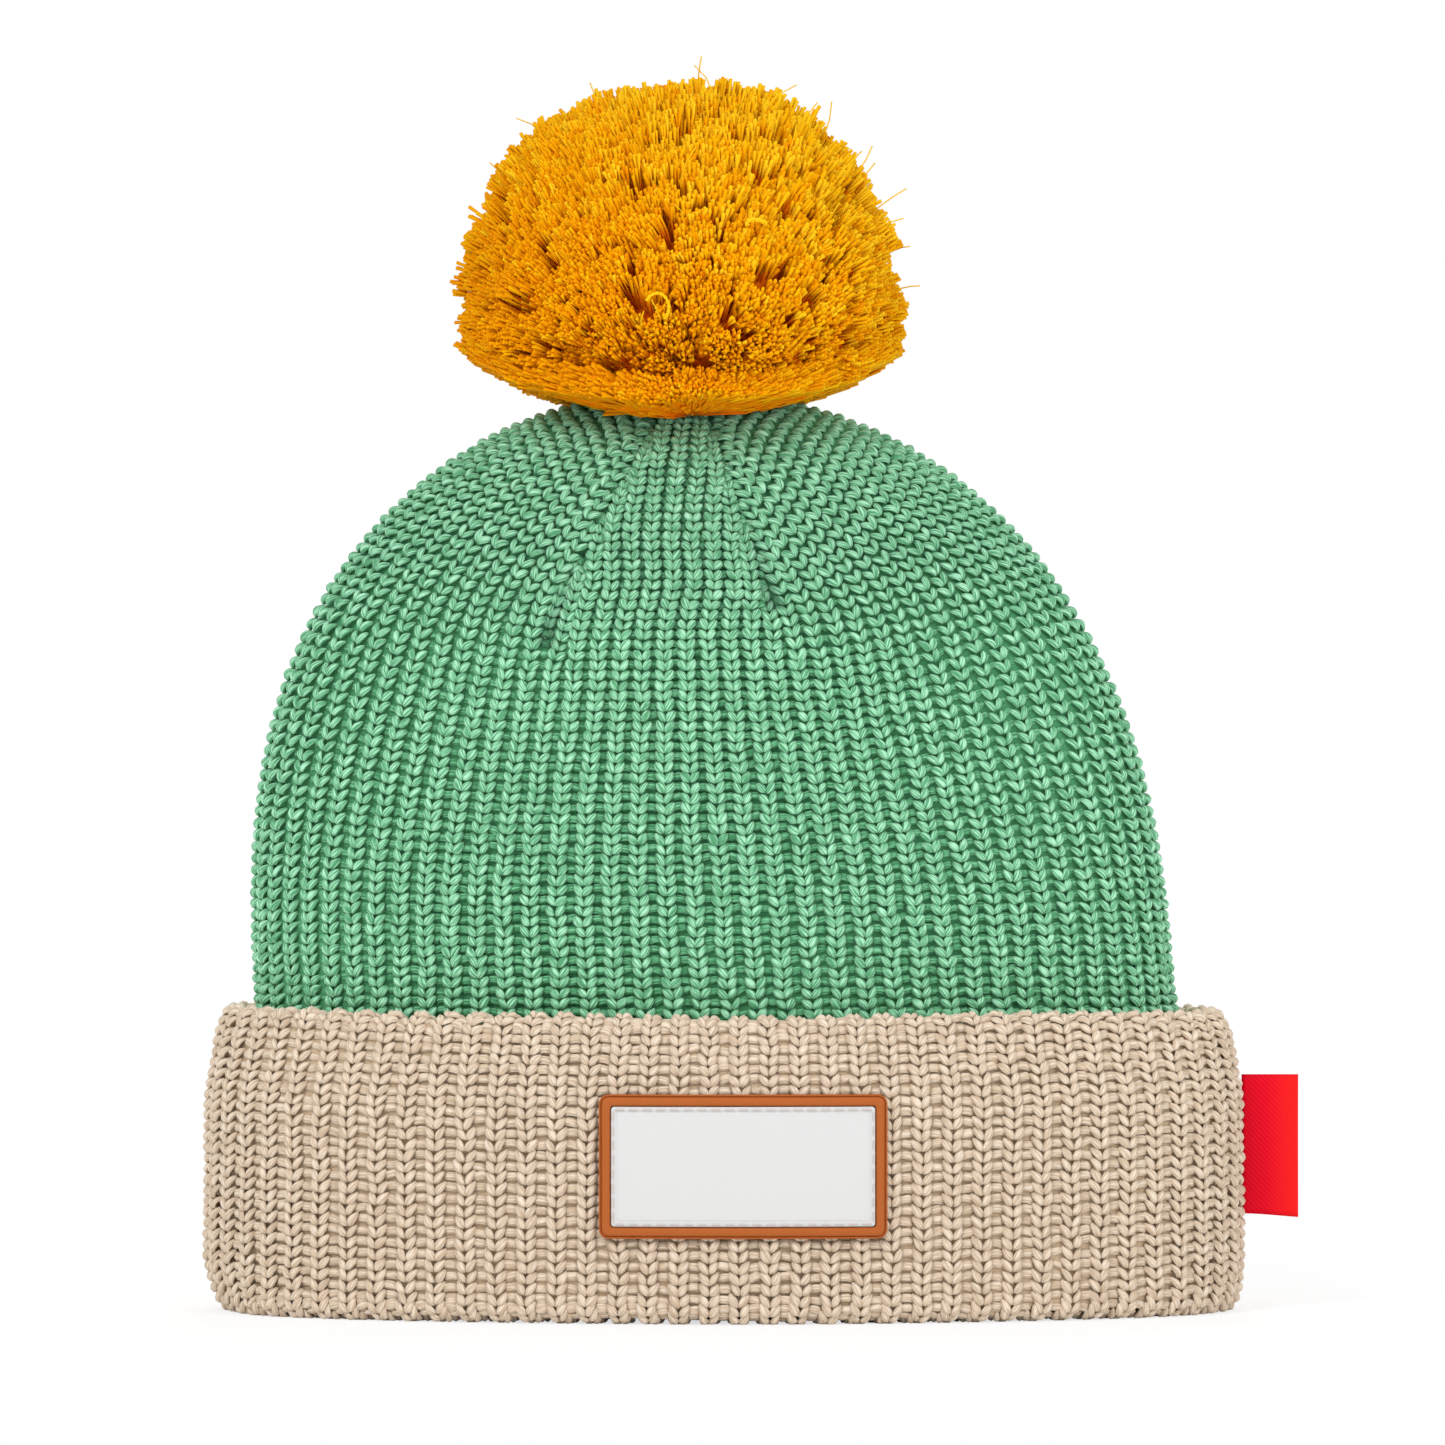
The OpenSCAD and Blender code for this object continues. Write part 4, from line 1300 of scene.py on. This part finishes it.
camera_data = bpy.data.cameras.new("camera")
camera_data.angle = 2 * math.atan(FRAME_WIDTH / 2 / EYE_DISTANCE)
camera = bpy.data.objects.new("camera", camera_data)
camera.location = (EYE_SIDE, -EYE_DISTANCE, EYE_HEIGHT)
camera.rotation_euler = (math.pi / 2, 0, 0)
bpy.context.collection.objects.link(camera)
bpy.context.scene.camera = camera


LAMP_SIZE = 0.9
AIM = (0, 0, 0.12)


def area_light(name, place, power):
    """A round lamp that faces the object's middle."""
    data = bpy.data.lights.new(name, "AREA")
    data.shape = "DISK"
    data.size = LAMP_SIZE
    data.energy = power
    lamp = bpy.data.objects.new(name, data)
    lamp.location = place
    way = np.array(AIM) - np.array(place)
    tilt, turn = math.acos(-way[2] / np.linalg.norm(way)), math.atan2(way[1], way[0])
    lamp.rotation_euler = (tilt, 0, turn - math.pi / 2)
    bpy.context.collection.objects.link(lamp)


def camera_sees(tree, seen, hidden):
    """Mixes what the camera and clear reflections see over what lights the object."""
    sight = tree.add("LightPath", {}, "Is Camera Ray")
    for kind in ("Glossy", "Transmission"):
        ray = tree.add("LightPath", {}, f"Is {kind} Ray")
        sight = tree.add("Math", {0: sight, 1: ray}, operation="MAXIMUM")
    return tree.add("MixShader", {"Fac": sight, 1: hidden, 2: seen})


WHITE = (1, 1, 1, 1)
AMBIENT = 0.74
world = bpy.data.worlds.new("studio")
bpy.context.scene.world = world
world.use_nodes = True
tree = Shading(world)
ambient = tree.nodes["Background"]
ambient.inputs["Color"].default_value = WHITE
ambient.inputs["Strength"].default_value = AMBIENT
backdrop = tree.add("Background", {"Color": WHITE, "Strength": 1.0})
tree.plug(camera_sees(tree, backdrop, ambient.outputs[0]), tree.nodes["World Output"], "Surface")

area_light("key", (-0.7, -1.3, 1.15), power=13)
area_light("fill", (1.0, -1.2, 0.7), power=7)
area_light("back", (0.2, 1.3, 1.0), power=7)

WHITE_NEAR, WHITE_FAR = 0.17, 0.42      # metres from the middle over which the floor turns white
PALE = 0.7                              # and how white it is before that

bpy.ops.mesh.primitive_plane_add(size=8)
floor = bpy.context.object
floor.name = "floor"
floor_look, floor_shader = new_material("floor", (0.97, 0.97, 0.97, 1), rough=0.95)
tree = Shading(floor_look)
matt = floor_shader.outputs[0]
glow = camera_sees(tree, tree.add("Emission", {"Strength": 1.0}), matt)
distance = tree.add("VectorMath", {0: tree.add("TexCoord", {}, "Object")}, "Value", operation="LENGTH")
fade = tree.carried(distance, WHITE_NEAR, WHITE_FAR, PALE, 1.0, "SMOOTHSTEP")
ground = tree.add("MixShader", {"Fac": fade, 1: matt, 2: glow})
tree.plug(ground, tree.nodes["Material Output"], "Surface")
floor.data.materials.append(floor_look)

bpy.context.scene.view_settings.view_transform = "Standard"
